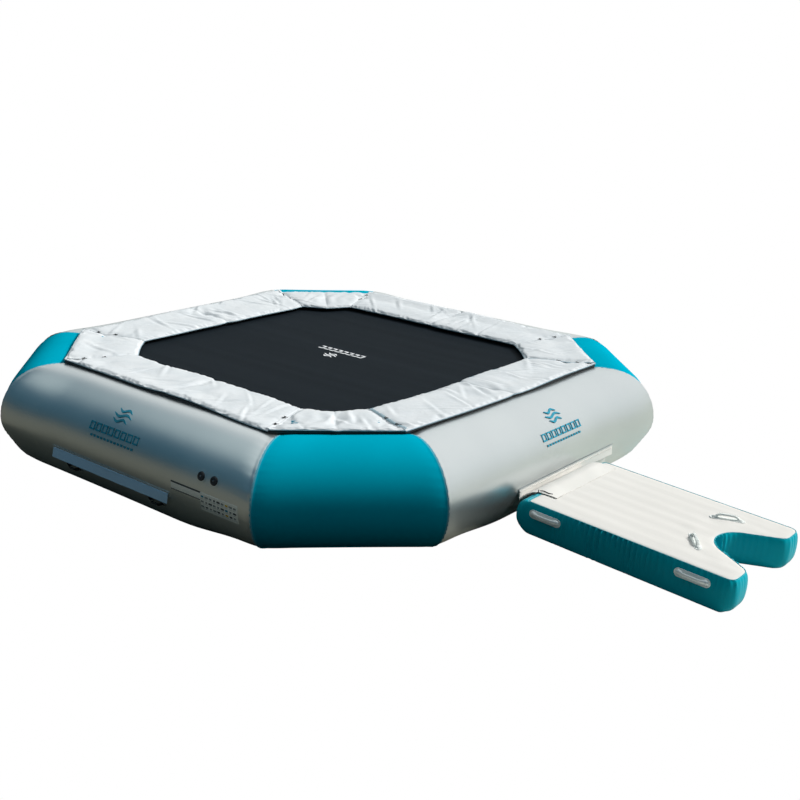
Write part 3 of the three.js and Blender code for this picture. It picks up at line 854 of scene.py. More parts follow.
def soften_pad(piece):
    """Lets the cover settle as cloth under light inner pressure, held along its hems."""
    before = mesh_points(piece.data)
    pins = pin_hems(piece)
    cloth = add_cloth(piece, pins)
    scene = bpy.context.scene
    for number in range(CLOTH_FRAMES):
        scene.frame_set(1 + number)
    settled = piece.evaluated_get(bpy.context.evaluated_depsgraph_get())
    shift = mesh_points(settled.data) - before
    piece.modifiers.remove(cloth)
    piece.vertex_groups.remove(pins)
    scene.frame_set(1)
    length = np.linalg.norm(shift, axis=1, keepdims=True)
    final = before + shift * np.minimum(1, CLOTH_REACH / np.maximum(length, 1e-9))
    final[:, 2] = np.clip(final[:, 2], PAD_BOTTOM, PAD_HIGHEST + 0.002)
    piece.data.vertices.foreach_set("co", final.reshape(-1))
    piece.data.update()


def pad_binding(side):
    """The stitched binding round a pad's inner and outer edges."""
    build = Build()
    u = np.linspace(-1, 1, int(side.reach(0) * 2 / 0.03))
    for s, outward, upward in ((0.0, -0.001, 0.006), (1.0, 0.001, 0.004)):
        offset, along = pad_outline(side, u, s + 0 * u)
        height = pad_edge(side, u, s + 0 * u) + upward
        build.rod(on_ring(side, offset + outward, along * 0.9985, height), BINDING_RADIUS, 6)
    return settle(build.finish(f"pad_binding_{side.name}", [BINDING]), "ring", "pad_vinyl")


def pad_welt(side):
    """A corner pad's raised white welts, along both ends."""
    build = Build()
    s = np.linspace(0.0, 1.0, 31)
    for sign in (-1, 1):
        u = np.full_like(s, sign)
        offset, along = pad_outline(side, u, s)
        height = pad_top(side, u, s, along) + 0.003
        build.rod(on_ring(side, offset, along - sign * 0.005, height), WELT_RADIUS, 8)
    return settle(build.finish(f"pad_welt_{side.name}", [PAD_WHITE]), "ring", "pad_vinyl")


def pad_shadow_band(side):
    """A black band from the pad's outer edge down to the tube: painted shadow in the gap under the cover."""
    u = np.linspace(-1, 1, 81)[None, :]
    s = np.full_like(u, 1.0)
    offset, along = pad_outline(side, u, s)
    offset, along = offset - 0.008, along * 0.998
    wave = 0.003 * ripples(along, np.zeros_like(along), side.angle + 70, low=6, high=16)
    drop = np.linspace(0, 1, 6)[:, None]
    ground = TUBE_Z + np.sqrt(TUBE_RADIUS ** 2 - np.minimum(offset, 0.0) ** 2) - 0.006
    top = pad_edge(side, u, s) + 0.002
    z = top + (ground - top) * drop
    outer = offset + SHADOW_BAND_BULGE * np.sin(np.pi * drop) + wave * drop
    build = Build()
    build.sheet(*[on_ring(side, outer - inset, along, z) for inset in (0.0, SHADOW_BAND_WALL)])
    return settle(build.finish(f"pad_shadow_band_{side.name}", [PAD_BLACK_AND_SHADOW]), "ring", "pad_vinyl")


def joint_tie(build, side, sign, share):
    """A knotted cord through a joint flap: a small loop with two tails."""
    at = PAD_INNER + PAD_DEPTH * share
    middle = sign * (side.reach(at) - 0.017)
    height = float(pad_top(side, middle / side.reach(at), share, middle)) + 0.008
    turn = np.linspace(0, FULL_TURN, 14, endpoint=False)
    out, sideways, wave = TIE_LOOP
    loop = (at + out * np.cos(turn), middle + sideways * np.sin(turn), height + wave * np.cos(turn * 2))
    build.rod(on_ring(side, *loop), 0.0028, 6, closed=True, slot=1)
    tail = np.linspace(0, 1, 5)
    out, sideways, droop = TIE_TAIL
    for lean in (-1, 1):
        ends = (at + out * lean * tail, middle + sideways * tail, height + 0.002 - droop * tail)
        build.rod(on_ring(side, *ends), 0.0022, 6, slot=1)


def pad_joint(side, sign):
    """A flap over the joint of two pads, with two cord ties."""
    build = Build()
    share = np.linspace(0.03, 0.97, 31)[:, None]
    inward = np.linspace(0.002, 0.032, 5)[None, :]
    share, inward = np.broadcast_arrays(share, inward)
    offset = PAD_INNER + PAD_DEPTH * share
    along = sign * (side.reach(offset) - inward)
    arch = 0.003 * np.sin(np.pi * (inward - 0.002) / 0.030)
    top = pad_top(side, along / side.reach(offset), share, along) + 0.0035 + arch
    build.sheet(*[on_ring(side, offset, along, top + shift) for shift in (0.0015, -0.0015)])
    for place in (0.48, 0.76):
        joint_tie(build, side, sign, place)
    cloth = BINDING if side.name == "front" else PAD_WHITE
    end = "far" if sign < 0 else "near"
    return settle(build.finish(f"pad_joint_{side.name}_{end}", [cloth, CORD]), "ring", "pad_vinyl")


def add_pads():
    for side in sides:
        pad_cover(side)
        pad_binding(side)
        # The black band of painted shadow under the pad's outer edge.
        pad_shadow_band(side)
        if side.corner:
            pad_welt(side)
        else:
            pad_joint(side, -1)
            pad_joint(side, 1)


# ------------------------------------------------------------------ jumping bed, frame and springs

BED_SAG = 0.012
BED_THICKNESS = 0.003
BED_PER_SIDE = 16
HEM_WIDTH = 0.06
HEM_THICKNESS = 0.0035
STITCH_PITCH, STITCH_HALF, STITCH_RADIUS = 0.016, 0.005, 0.0009
STITCH_ROWS = (0.1, 0.5, 0.9)
SPRINGS = {True: 4, False: 14}
COIL_RADIUS = 0.0092
COIL_TURNS, COIL_INSET = 26, 0.034
WIRE_RADIUS, RING_WIRE = 0.0017, 0.0016
SPRING_HOOK = [(0.034, 0), (0.022, 0), (0.006, 0.007), (-0.004, 0.001), (0.002, -0.006), (0.011, -0.004)]
SLEEVE_WALL = 0.0025
TIE_PLACES = {True: (0.0,), False: (-0.9, 0.0, 0.9)}
TIE_PATCH = [[0, 0.0], [0.048, 0.0005], [0.05, 0.002], [0.046, 0.004], [0, 0.0045]]


def bed_edge(turn):
    """Distance from the bed's centre to its edge, towards an angle, for an eight-sided bed."""
    best = np.full_like(turn, 1e9)
    for side in sides:
        toward = np.cos(turn - side.angle)
        reach = (side.apothem + BED_OFFSET) / np.maximum(toward, 1e-6)
        best = np.where((toward > 1e-3) & (reach < best), reach, best)
    return best


def bed_angles(per_side):
    """Angles round the bed: its eight corners, with even steps between them."""
    turns = []
    for side in sides:
        turns.append(side.angle + math.atan2(side.reach(BED_OFFSET), side.apothem + BED_OFFSET))
    turns = sorted(turn % FULL_TURN for turn in turns)
    spans = []
    for start, end in zip(turns, turns[1:] + [turns[0] + FULL_TURN]):
        spans.append(np.linspace(start, end, per_side, endpoint=False))
    return np.concatenate(spans)


def bed_height(share):
    return BED_Z - BED_SAG * (1 - share ** 2)


def bed_layer(turn, edge, shares, drop):
    """One face of the bed: its hub, then a ring of points for each share of the way to its edge."""
    rings = [[(RING_X, 0, bed_height(0) - drop)]]
    for share in shares:
        x, y = RING_X + share * edge * np.cos(turn), share * edge * np.sin(turn)
        rings.append(np.stack([x, y, np.full_like(x, bed_height(share) - drop)], axis=-1))
    return np.concatenate(rings)


def bed_sheet():
    """The woven sheet, a little lower in the middle, as closed upper and lower faces."""
    turn = bed_angles(BED_PER_SIDE)
    edge = bed_edge(turn) - 0.001
    shares = np.linspace(0, 1, 36)[1:]
    points = [bed_layer(turn, edge, shares, drop) for drop in (0.0, BED_THICKNESS)]
    quads, hub_loop, edge_loop = (lot + 1 for lot in loop_faces(len(shares), len(turn)))
    hub_loop, edge_loop = hub_loop[0], edge_loop[0]
    hub = np.stack([np.zeros_like(hub_loop), np.roll(hub_loop, -1), hub_loop], axis=-1)
    size = len(points[0])
    following = np.roll(edge_loop, -1)
    rim = np.stack([edge_loop, edge_loop + size, following + size, following], axis=-1)
    build = Build()
    build.add(np.concatenate(points), [quads, hub, quads[:, ::-1] + size, hub[:, ::-1] + size, rim])
    return settle(build.finish("bed_sheet", [BED], 60), "bed", "bed_mesh", "jumping_bed")


def bed_border(side):
    """Sewn webbing along one edge of the bed, with its three lines of stitching."""
    build = Build()
    inner = BED_OFFSET - HEM_WIDTH
    width = HEM_WIDTH - 0.002
    across = np.linspace(0, 1, 7)[:, None]
    offset, t = np.broadcast_arrays(inner + width * across, np.linspace(-1, 1, 61)[None, :])
    along = t * side.reach(offset)
    rise = HEM_THICKNESS + 0.001 * np.sin(np.pi * across) - BED_SAG * 0.06 * (1 - across)
    z = BED_Z + rise + 0.0004 * ripples(along, offset, 21, low=20, high=50)
    build.sheet(side.place(offset, along, z), side.place(offset, along, z - HEM_THICKNESS))
    for line in STITCH_ROWS:
        at = inner + width * line
        count = int(2 * side.reach(at) / STITCH_PITCH)
        for number in range(count):
            middle = (number + 0.5 - count / 2) * STITCH_PITCH
            ends = middle + STITCH_HALF * np.array([-1, 0, 1])
            height = BED_Z + 0.0045 + np.array([0.0, 0.0012, 0.0])
            build.rod(side.place(at, ends, height), STITCH_RADIUS, 4, slot=1)
    piece = build.finish(f"bed_border_{side.name}", [BED_WEB, BINDING])
    return settle(piece, "bed", "bed_webbing")


def bed_ring(side, along, start, z):
    """The rounded steel triangle that a spring hooks into at the bed's edge."""
    turn = np.linspace(0, FULL_TURN, 14, endpoint=False)
    radius = 0.010 + 0.003 * np.cos(turn * 3)
    offset = start - 0.006 + radius * np.cos(turn)
    return side.place(offset, along + 1.25 * radius * np.sin(turn), z + 0.002 + 0.004 * np.cos(turn))


def add_spring(build, side, along, start, z):
    """One spring: a close-wound coil, a hook into its ring at the bed and a hook round the frame."""
    coil_start, coil_end = start + COIL_INSET, RAIL_OFFSET - RAIL_RADIUS - COIL_INSET
    t = np.linspace(0, 1, COIL_TURNS * 7)
    angle = FULL_TURN * COIL_TURNS * t
    radius = COIL_RADIUS * np.minimum(1, 0.45 + 7 * np.minimum(t, 1 - t))
    offset = coil_start + (coil_end - coil_start) * t
    coil = side.place(offset, along + radius * np.cos(angle), z + radius * np.sin(angle))
    build.rod(coil, WIRE_RADIUS, 5)
    build.rod([side.place(start + out, along, z + up) for out, up in SPRING_HOOK], WIRE_RADIUS, 6)
    hug = RAIL_RADIUS + 0.003
    bend = np.radians(np.linspace(185, 45, 9))
    hook_offset = np.concatenate([[coil_end, coil_end + 0.012], RAIL_OFFSET + hug * np.cos(bend)])
    hook_z = np.concatenate([[z, z + 0.002], RAIL_Z + hug * np.sin(bend)])
    build.rod(side.place(hook_offset, along, hook_z), WIRE_RADIUS, 6)
    build.rod(bed_ring(side, along, start, z), RING_WIRE, 5, closed=True)


def spring_row(side):
    """The springs of one side, and the strip of webbing that holds their rings."""
    build = Build()
    count = SPRINGS[side.corner]
    reach = side.reach(BED_OFFSET)
    start = BED_OFFSET + 0.004
    z = BED_Z - 0.0015
    for number in range(count):
        add_spring(build, side, (number - (count - 1) / 2) * 2 * reach / count, start, z)
    offset = start + np.array([[-0.004], [0.001]])
    strip = side.place(offset, np.linspace(-1, 1, 30)[None, :] * (reach - 0.01), z + 0.004)
    build.sheet(strip, strip - [0, 0, 0.007], 1)
    piece = build.finish(f"spring_row_{side.name}", [SPRING_STEEL, BED_WEB])
    inner = side.place(BED_OFFSET + 0.012, 0.0, BED_Z)
    outer = side.place(RAIL_OFFSET - RAIL_RADIUS, 0.0, BED_Z)
    return settle_between(piece, f"springs_{side.name}")


def frame_rail(side):
    """A straight tube of the frame, with a wider bolted sleeve near each joint with the next one."""
    build = Build()
    reach = side.reach(RAIL_OFFSET)
    t = np.concatenate([[-1.0], np.linspace(-0.98, 0.98, 25), [1.0]])
    build.rod(side.place(RAIL_OFFSET, t * reach, RAIL_Z), RAIL_RADIUS, 24)
    for sign in (-1, 1):
        ends = (reach - np.array([0.16, 0.156, 0.034, 0.03])) * sign
        radius = RAIL_RADIUS + SLEEVE_WALL * np.array([0, 1, 1, 0])
        build.rod(side.place(RAIL_OFFSET, ends, RAIL_Z), radius, 24)
        bolt = side.place(RAIL_OFFSET, sign * (reach - 0.10), RAIL_Z + np.array([0.02, 0.03, 0.032]))
        build.rod(bolt, [0.008, 0.008, 0.004], 6)
    piece = build.finish(f"frame_tube_{side.name}", [GALVANISED])
    return settle(piece, "ring", "galvanised_steel", f"frame_rail_{side.name}")


def frame_tie(build, side, along):
    """A webbing loop over the frame's tube, with a welded patch under each of its feet."""
    loop = RAIL_RADIUS + 0.004
    bend = np.radians(np.linspace(-60, 240, 26))
    feet = np.array([RAIL_OFFSET + 0.06, RAIL_OFFSET - 0.05])
    skin = TUBE_Z + np.sqrt(TUBE_RADIUS ** 2 - feet ** 2) + 0.004
    offset = np.concatenate([feet[:1], RAIL_OFFSET + loop * np.cos(bend), feet[1:]])[:, None]
    height = np.concatenate([skin[:1], RAIL_Z + loop * np.sin(bend), skin[1:]])[:, None]
    top = side.place(offset, along + np.linspace(-0.025, 0.025, 3)[None, :], height)
    toward = side.place(RAIL_OFFSET, along, RAIL_Z) - top
    toward /= np.linalg.norm(toward, axis=-1, keepdims=True)
    build.sheet(top, top + toward * 0.0022)
    for foot in feet:
        degrees = math.degrees(math.acos(foot / TUBE_RADIUS))
        build.lathe(TIE_PATCH, 28, 1, side.skin_matrix(along, degrees, -0.002))


def frame_ties(side):
    """Webbing loops that lash the frame to the tube, on welded patches."""
    build = Build()
    for along in TIE_PLACES[side.corner]:
        frame_tie(build, side, along)
    piece = build.finish(f"frame_ties_{side.name}", [DARK_WEB, TEAL if side.corner else SILVER])
    return settle(piece, "ring", "strap_webbing")


def add_bed():
    bed_sheet()
    borders = [bed_border(side) for side in sides]
    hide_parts("bed_hem")
    bed_print()
    for side in sides:
        spring_row(side)
        frame_rail(side)
        frame_ties(side)


# ------------------------------------------------------------------ printed marks

BOTH_EDGES = np.array([[-1.0], [1.0]])
SQUARES = 8
BED_PRINT = (-0.03, 0.13)
BED_PITCH, SIDE_PITCH, CORNER_PITCH = 0.072, 0.066, 0.090


class Mark:
    """A plain printed mark, laid on a surface that turns its flat places into two layers of points."""

    def __init__(self, name, columns, surface):
        self.name, self.surface = name, surface
        self.t = np.linspace(-1, 1, columns)[None, :]
        self.build = Build()

    def lay(self, x, y):
        self.build.sheet(*self.surface(*np.broadcast_arrays(x, y)))

    def bar(self, x, y, half_length, half_height):
        self.lay(x + self.t * half_length, y + BOTH_EDGES * half_height)

    def wave(self, y, half_length, swing, turns, half_height, tip=0.02):
        """A wavy line that narrows towards both tips."""
        taper = np.sqrt(np.clip(1 - self.t ** 2, tip, 1))
        self.lay(self.t * half_length, y + swing * np.sin(self.t * turns) + BOTH_EDGES * half_height * taper)

    def squares(self, pitch, y, rails, uprights=None):
        """A row of open squares; rails and uprights are (shift, half length, half height)."""
        for number in range(SQUARES):
            middle = (number - (SQUARES - 1) / 2) * pitch
            for sign in (-1, 1):
                self.bar(middle, y + sign * rails[0], rails[1], rails[2])
                if uprights:
                    self.bar(middle + sign * uprights[0], y, uprights[1], uprights[2])

    def finish(self, material, body, slot):
        return settle(self.build.finish(self.name, [material]), body, slot)


def on_bed(x, y):
    """Places on the bed's weave, slightly raised."""
    x, y = RING_X + BED_PRINT[0] + x, BED_PRINT[1] + y
    z = bed_height(np.hypot(x - RING_X, y) / 1.6) + 0.0012
    return [np.stack([x, y, z - depth], axis=-1) for depth in (0.0, 0.0008)]


def bed_print():
    """The mark in the middle of the bed: a row of squares with one upright each, and three waves."""
    mark = Mark("bed_print", 41, on_bed)
    for y, half_length in ((-0.105, 0.060), (-0.145, 0.085), (-0.185, 0.060)):
        mark.wave(y, half_length, 0.012, 4.5, 0.011)
    mark.squares(BED_PITCH, 0.02, (0.032, 0.026, 0.009))
    for number in range(SQUARES):
        mark.bar((number - (SQUARES - 1) / 2) * BED_PITCH + 0.022, 0.02, 0.007, 0.036)
    return mark.finish(PRINT_WHITE, "bed", "bed_mesh")


def side_print(name, along, height, scale):
    """The mark on a side of the tube: three waves, a row of open squares and a dotted line."""
    side = by_name[name]

    def on_tube(x, y):
        degrees = height + np.degrees(y * scale / TUBE_RADIUS)
        return [side.skin(along + x * scale, degrees, rise) for rise in (0.0009, -0.003)]

    mark = Mark(f"emblem_{name}", 45, on_tube)
    for y, half_length in ((0.135, 0.070), (0.095, 0.095), (0.055, 0.075)):
        mark.wave(y, half_length, 0.011, 4.2, 0.010, tip=0.01)
    mark.squares(SIDE_PITCH, -0.035, (0.024, 0.0255, 0.0055), (0.021, 0.0045, 0.0295))
    for number in range(-6, 7):
        mark.bar(number * 0.036, -0.100, 0.010, 0.0075)
    return mark.finish(PRINT_BLUE, "ring", "silver_skin")


def corner_print(side):
    """The mark across a corner pad: two dashed lines and two waves."""

    def on_pad(x, y):
        u = x / side.reach(PAD_INNER + PAD_DEPTH * y)
        offset, along = pad_outline(side, u, y)
        top = pad_top(side, u, y, along)
        return [on_ring(side, offset, along, top + rise) for rise in (0.0032, -0.006)]

    mark = Mark(f"pad_print_{side.name}", 21, on_pad)
    mark.squares(CORNER_PITCH, 0.62, (0.035, 0.028, 0.011))
    for y, half_length in ((0.47, 0.085), (0.40, 0.065)):
        mark.wave(y, half_length, 0.02, 4, 0.012)
    return mark.finish(PRINT_BLUE, "ring", "pad_vinyl")


# ------------------------------------------------------------------ fittings on the tube

# The right strip's blue is painted reflection of the sky on its shaded side.
STRIP_CLOTHS = {"front": FLAP_WHITE, "right": STRIP_PAINTED_SKY, "left": STRIP_CLOTH, "back": STRIP_CLOTH}
STRIP_TILT = {"right": 0.018}
STRIP_HALF_WALL = 0.0015
STITCH_LINES = (0.14, 0.20)
TORN_LENGTH, TORN_END = 0.43, 0.50
TORN_DEPTH, TORN_DROP = 0.020, 0.034
STRAP_HALF_WIDTH, STRAP_RISE, GRIP_RADIUS = 0.015, 0.020, 0.009


class Strip:
    """Where an accessory strip lies on its side of the ring, from its box."""

    def __init__(self, name):
        low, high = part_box(f"accessory_strip_{name}")
        self.side = by_name[name]
        cos, sin = math.cos(self.side.angle), math.sin(self.side.angle)
        ends = [(x - RING_X, y) for x in (low.x, high.x) for y in (low.y, high.y)]
        along = sorted(y * cos - x * sin for x, y in ends)
        offset = sorted(x * cos + y * sin - self.side.apothem for x, y in ends)
        self.start, self.end = along[0], along[-1]
        self.near, self.far = offset[0], offset[-1]
        self.low, self.high = low.z, high.z


def accessory_strip(name):
    """A stiff hanging flap, slightly wavy, with two lines of stitching near its top."""
    strip = Strip(name)
    side = strip.side
    tall = strip.high - strip.low
    v = np.linspace(0, 1, 9)[:, None]
    along = strip.start + (strip.end - strip.start) * np.linspace(0, 1, 121)[None, :] + 0 * v
    ragged = 0.002 * ripples(along, 0 * along, 31 + side.angle, low=9, high=30) * v
    z = strip.high - tall * v + ragged * (v > 0.9)
    wave = 0.003 * ripples(along, z * 2, 32 + side.angle, low=4, high=12) * np.sin(np.pi * v * 0.5)
    hang = (strip.near + strip.far) / 2 - 0.001 + wave + STRIP_TILT.get(name, 0.0) * v
    build = Build()
    build.sheet(*[side.place(hang + wall, along, z) for wall in (STRIP_HALF_WALL, -STRIP_HALF_WALL)])
    stitched = np.linspace(strip.start + 0.01, strip.end - 0.01, 61)[None, :]
    for line in STITCH_LINES:
        heights = strip.high - tall * line + 0.0015 * BOTH_EDGES
        build.sheet(*[side.place(strip.far + shift, stitched, heights) for shift in (0.0005, -0.0005)])
    piece = build.finish(f"strip_{name}", [STRIP_CLOTHS[name]])
    return settle(piece, "ring", "strip_fabric", f"accessory_strip_{name}")


def ragged_layer():
    """A torn second layer of the front strip, showing under its far end."""
    strip = Strip("front")
    t = np.linspace(0, 1, 121)[None, :]
    v = np.linspace(0, 1, 7)[:, None]
    along = strip.end - TORN_END + TORN_LENGTH * t + 0 * v
    torn = TORN_DEPTH * ripples(along, 0 * along, 130, low=10, high=45)
    drop = (TORN_DROP + torn) * np.clip(t / 0.06, 0, 1) * np.clip((1 - t) / 0.06, 0.2, 1)
    z = strip.low + 0.02 - (0.02 + drop) * v
    hang = strip.near - 0.004 - 0.010 * v + 0.003 * ripples(along, z, 131, low=8, high=30)
    build = Build()
    build.sheet(*[strip.side.place(hang + wall, along, z) for wall in (0.001, -0.001)])
    return settle(build.finish("strip_front_layer", [FLAP_WHITE]), "ring", "strip_fabric")


def skin_patch(build, side, ends, degrees, heights, slot=0, counts=(9, 9)):
    """A slab on the tube's skin between two places along it and two angles round it."""
    angle = np.linspace(*degrees, counts[0])[:, None]
    angle, along = np.broadcast_arrays(angle, np.linspace(*ends, counts[1])[None, :])
    build.sheet(*[side.skin(along, angle, height) for height in heights], slot)


def strip_backing(name):
    """The welded band on the tube that the flap hangs from."""
    strip = Strip(name)
    degrees = math.degrees(math.asin((strip.high - TUBE_Z) / TUBE_RADIUS))
    ends = (strip.start - 0.012, strip.end + 0.012)
    build = Build()
    skin_patch(build, strip.side, ends, (degrees - 4, degrees + 2), (0.0025, -0.002), 0, (7, 61))
    return settle(build.finish(f"strip_backing_{name}", [SILVER]), "ring", "strip_fabric")


def lift_strap(label):
    """A webbing carrying handle: sewn ends on a patch, with a padded middle standing clear."""
    low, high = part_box(f"lift_strap_{label}")
    side = by_name["right"]
    middle = (low.x + high.x) / 2 - RING_X
    half = (high.x - low.x) / 2
    degrees = math.degrees(math.asin(((low.z + high.z) / 2 - TUBE_Z) / TUBE_RADIUS))
    spread = float(ground_spread(side, middle, math.radians(degrees)))
    t, across = np.broadcast_arrays(np.linspace(-1, 1, 41)[:, None], np.linspace(-1, 1, 5)[None, :])
    rise = spread + STRAP_RISE * np.clip((0.78 - np.abs(t)) / 0.35, 0, 1) ** 0.7
    angle = degrees + np.degrees(across * STRAP_HALF_WIDTH / TUBE_RADIUS)
    build = Build()
    build.sheet(*[side.skin(middle + t * half, angle, rise + wall) for wall in (0.004, 0.0015)])
    grip = middle + half * np.linspace(-0.42, 0.42, 9)
    build.rod(side.skin(grip, degrees, spread + STRAP_RISE + 0.002), GRIP_RADIUS, 12, slot=1)
    for sign in (-1, 1):
        patch = side.skin_matrix(middle + sign * half * 0.88, degrees, spread)
        build.box((0.062, 0.055, 0.003), patch, 2, 0.3)
    piece = build.finish(f"carry_strap_{label}", [BED_WEB, BLACK_PLASTIC, SILVER])
    return settle(piece, "ring", "strap_webbing", f"lift_strap_{label}")


# Turned outlines of the valves and patches, as [radius, height] in metres above the skin.
FLANGE = [[0, -0.038], [0.022, -0.038], [0.022, 0.0002], [0.036, 0.0004], [0.0365, 0.0018],
          [0.034, 0.0040], [0.016, 0.0042], [0.016, -0.03], [0, -0.03]]
CAP = [[0, -0.0075], [0.0148, -0.0075], [0.0148, 0.0046], [0.0325, 0.0046], [0.033, 0.0062],
       [0.0325, 0.0105], [0.0300, 0.0128], [0.0235, 0.0132], [0.0222, 0.0104], [0, 0.0100]]
FINGER_BAR = (0.009, 0.041, 0.0046)
CAP_BUTTON = [[0, 0.0095], [0.0075, 0.0095], [0.007, 0.0135], [0.004, 0.0142], [0, 0.0142]]
VALVE_PATCH = [[0, 0.0], [0.051, 0.0], [0.052, 0.0003], [0.050, 0.0009], [0, 0.0006]]
MOORING_DEGREES, LOOP_RADIUS, LOOP_HEIGHT = 230.0, 0.0052, 0.0042
MOORING_PATCH = [[0, -0.003], [0.074, -0.003], [0.075, -0.001], [0.072, 0.0022], [0, 0.003]]


def ring_of_boxes(build, matrix, count, first, radius, height, size):
    """Small blocks spaced evenly round an axis; first is the turn of the first one."""
    for number in range(count):
        turn = Matrix.Rotation(number * FULL_TURN / count + first, 4, "Z")
        build.box(size, matrix @ turn @ Matrix.Translation((radius, 0, height)))


def valve_parts(prefix, matrix, cap_body, ring_body):
    """A screw-in valve: a flange with a notched rim, and a knurled cap with a raised finger bar."""
    flange = Build()
    flange.lathe(FLANGE, 64, 0, matrix)
    ring_of_boxes(flange, matrix, 12, 0.26, radius=0.0347, height=0.0032, size=(0.002, 0.006, 0.0018))
    piece = flange.finish(f"{prefix}_flange", [BLACK_PLASTIC])
    settle(piece, ring_body, "valve_plastic", f"{prefix}_body")
    cap = Build()
    cap.lathe(CAP, 64, 0, matrix)
    ring_of_boxes(cap, matrix, 40, 0.0, radius=0.0328, height=0.0085, size=(0.0014, 0.0026, 0.0055))
    cap.box(FINGER_BAR, matrix @ Matrix.Translation((0, 0, 0.0116)), 0, 0.3)
    cap.lathe(CAP_BUTTON, 24, 1, matrix)
    piece = cap.finish(f"{prefix}_twist_cap", [BLACK_PLASTIC, DARK_STEEL])
    settle(piece, cap_body, "valve_plastic", f"{prefix}_cap")


def ring_valve(name):
    """A valve on the right side of the ring, on its round welded patch."""
    side = by_name["right"]
    middle = middle_of(f"{name}_valve_cap")
    degrees = math.degrees(math.atan2(middle.z - TUBE_Z, -middle.y - side.apothem))
    matrix = side.skin_matrix(middle.x - RING_X, degrees)
    valve_parts(f"{name}_valve", matrix, f"{name}_cap", "ring")
    patch = Build()
    patch.lathe(VALVE_PATCH, 48, 0, matrix @ Matrix.Translation((0, 0, -0.0006)))
    settle(patch.finish(f"{name}_valve_patch", [SILVER]), "ring", "silver_skin")


LABEL_MATERIALS = [LABEL_PALE, PRINT_DARK, PRINT_GREY, PRINT_BLUE, PRINT_YELLOW, PRINT_GREY]
PALE_SLOT, DARK_SLOT, GREY_SLOT, BLUE_SLOT, YELLOW_SLOT, FINE_SLOT = range(6)
PANEL_PRINTED, PANEL_FLAT = (0.0011, -0.0029), (0.0006, -0.0034)
NARROW_PANEL, WIDE_PANEL = (0.701, 1.036), (1.040, 1.440)
SIGN_ROWS, SIGN_COLUMNS = 3, 9
SIGN_PITCH, SIGN_DEGREES, FIRST_DEGREES = 0.044, 5.2, 0.5
COLOURED_SIGNS = {(0, 0): BLUE_SLOT, (0, 6): YELLOW_SLOT, (1, 6): BLUE_SLOT, (2, 6): YELLOW_SLOT,
                  (0, 4): DARK_SLOT}


def label_sign(build, row, column):
    """A plain block of colour with a thin bar under it."""
    side = by_name["right"]
    middle = WIDE_PANEL[0] + (column + 0.5) * SIGN_PITCH
    degrees = FIRST_DEGREES - row * SIGN_DEGREES
    kind = COLOURED_SIGNS.get((row, column), GREY_SLOT if (row + column) % 3 else DARK_SLOT)
    half = 0.015 if kind > GREY_SLOT else 0.010 + 0.004 * ((row + 2 * column) % 3)
    block, bar = (middle - half, middle + half), (middle - 0.015, middle + 0.015)
    skin_patch(build, side, block, (degrees - 0.9, degrees + 0.9), PANEL_PRINTED, kind)
    skin_patch(build, side, bar, (degrees - 2.3, degrees - 2.0), PANEL_PRINTED, FINE_SLOT)


def label_panel():
    """Two printed information panels beside the valves: plain bars and signs, without any lettering."""
    side = by_name["right"]
    build = Build()
    skin_patch(build, side, NARROW_PANEL, (-3.4, 4.4), PANEL_FLAT, PALE_SLOT)
    skin_patch(build, side, NARROW_PANEL, (3.1, 4.6), PANEL_PRINTED, DARK_SLOT)
    skin_patch(build, side, NARROW_PANEL, (-4.2, -3.2), PANEL_PRINTED, DARK_SLOT)
    skin_patch(build, side, WIDE_PANEL, (-14.5, 4.0), PANEL_FLAT, PALE_SLOT)
    for row in range(SIGN_ROWS):
        for column in range(SIGN_COLUMNS):
            label_sign(build, row, column)
    settle(build.finish("label_panel", LABEL_MATERIALS), "ring", "silver_skin")


def anchor_parts(side):
    """A welded mooring patch with a webbing loop that carries the steel ring."""
    build = Build()
    matrix = side.skin_matrix(0.0, MOORING_DEGREES)
    build.lathe(MOORING_PATCH, 48, 0, matrix)
    build.box((0.10, 0.035, 0.0022), matrix @ Matrix.Translation((0, 0, 0.003)), 1)
    bend = np.radians(np.linspace(0, 180, 13))[:, None]
    width = np.linspace(-0.015, 0.015, 3)[None, :]
    loop = (LOOP_RADIUS * np.cos(bend), width, LOOP_RADIUS * np.sin(bend) + LOOP_HEIGHT)
    outer = np.stack(np.broadcast_arrays(*loop), axis=-1)
    inner = outer * [0.72, 1, 1] - [0, 0, 0.0012]
    build.sheet(moved(outer, matrix), moved(inner, matrix), 1)
    settle(build.finish(f"anchor_patch_{side.name}", [TEAL, DARK_WEB]), "ring", "teal_skin")
    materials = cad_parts[f"anchor_ring_{side.name}"].data.materials
    materials.clear()
    materials.append(GALVANISED)


def add_fittings():
    for name in STRIP_CLOTHS:
        accessory_strip(name)
        strip_backing(name)
    ragged_layer()
    for label in ("front", "rear"):
        lift_strap(label)
    for name in ("inflation", "relief"):
        ring_valve(name)
    label_panel()
    side_print("front", 0.07, 37.0, 1.15)
    side_print("right", -0.06, 34.0, 1.2)
    for side in sides:
        if side.corner:
            corner_print(side)
            anchor_parts(side)

# ------------------------------------------------------------------ boarding platform

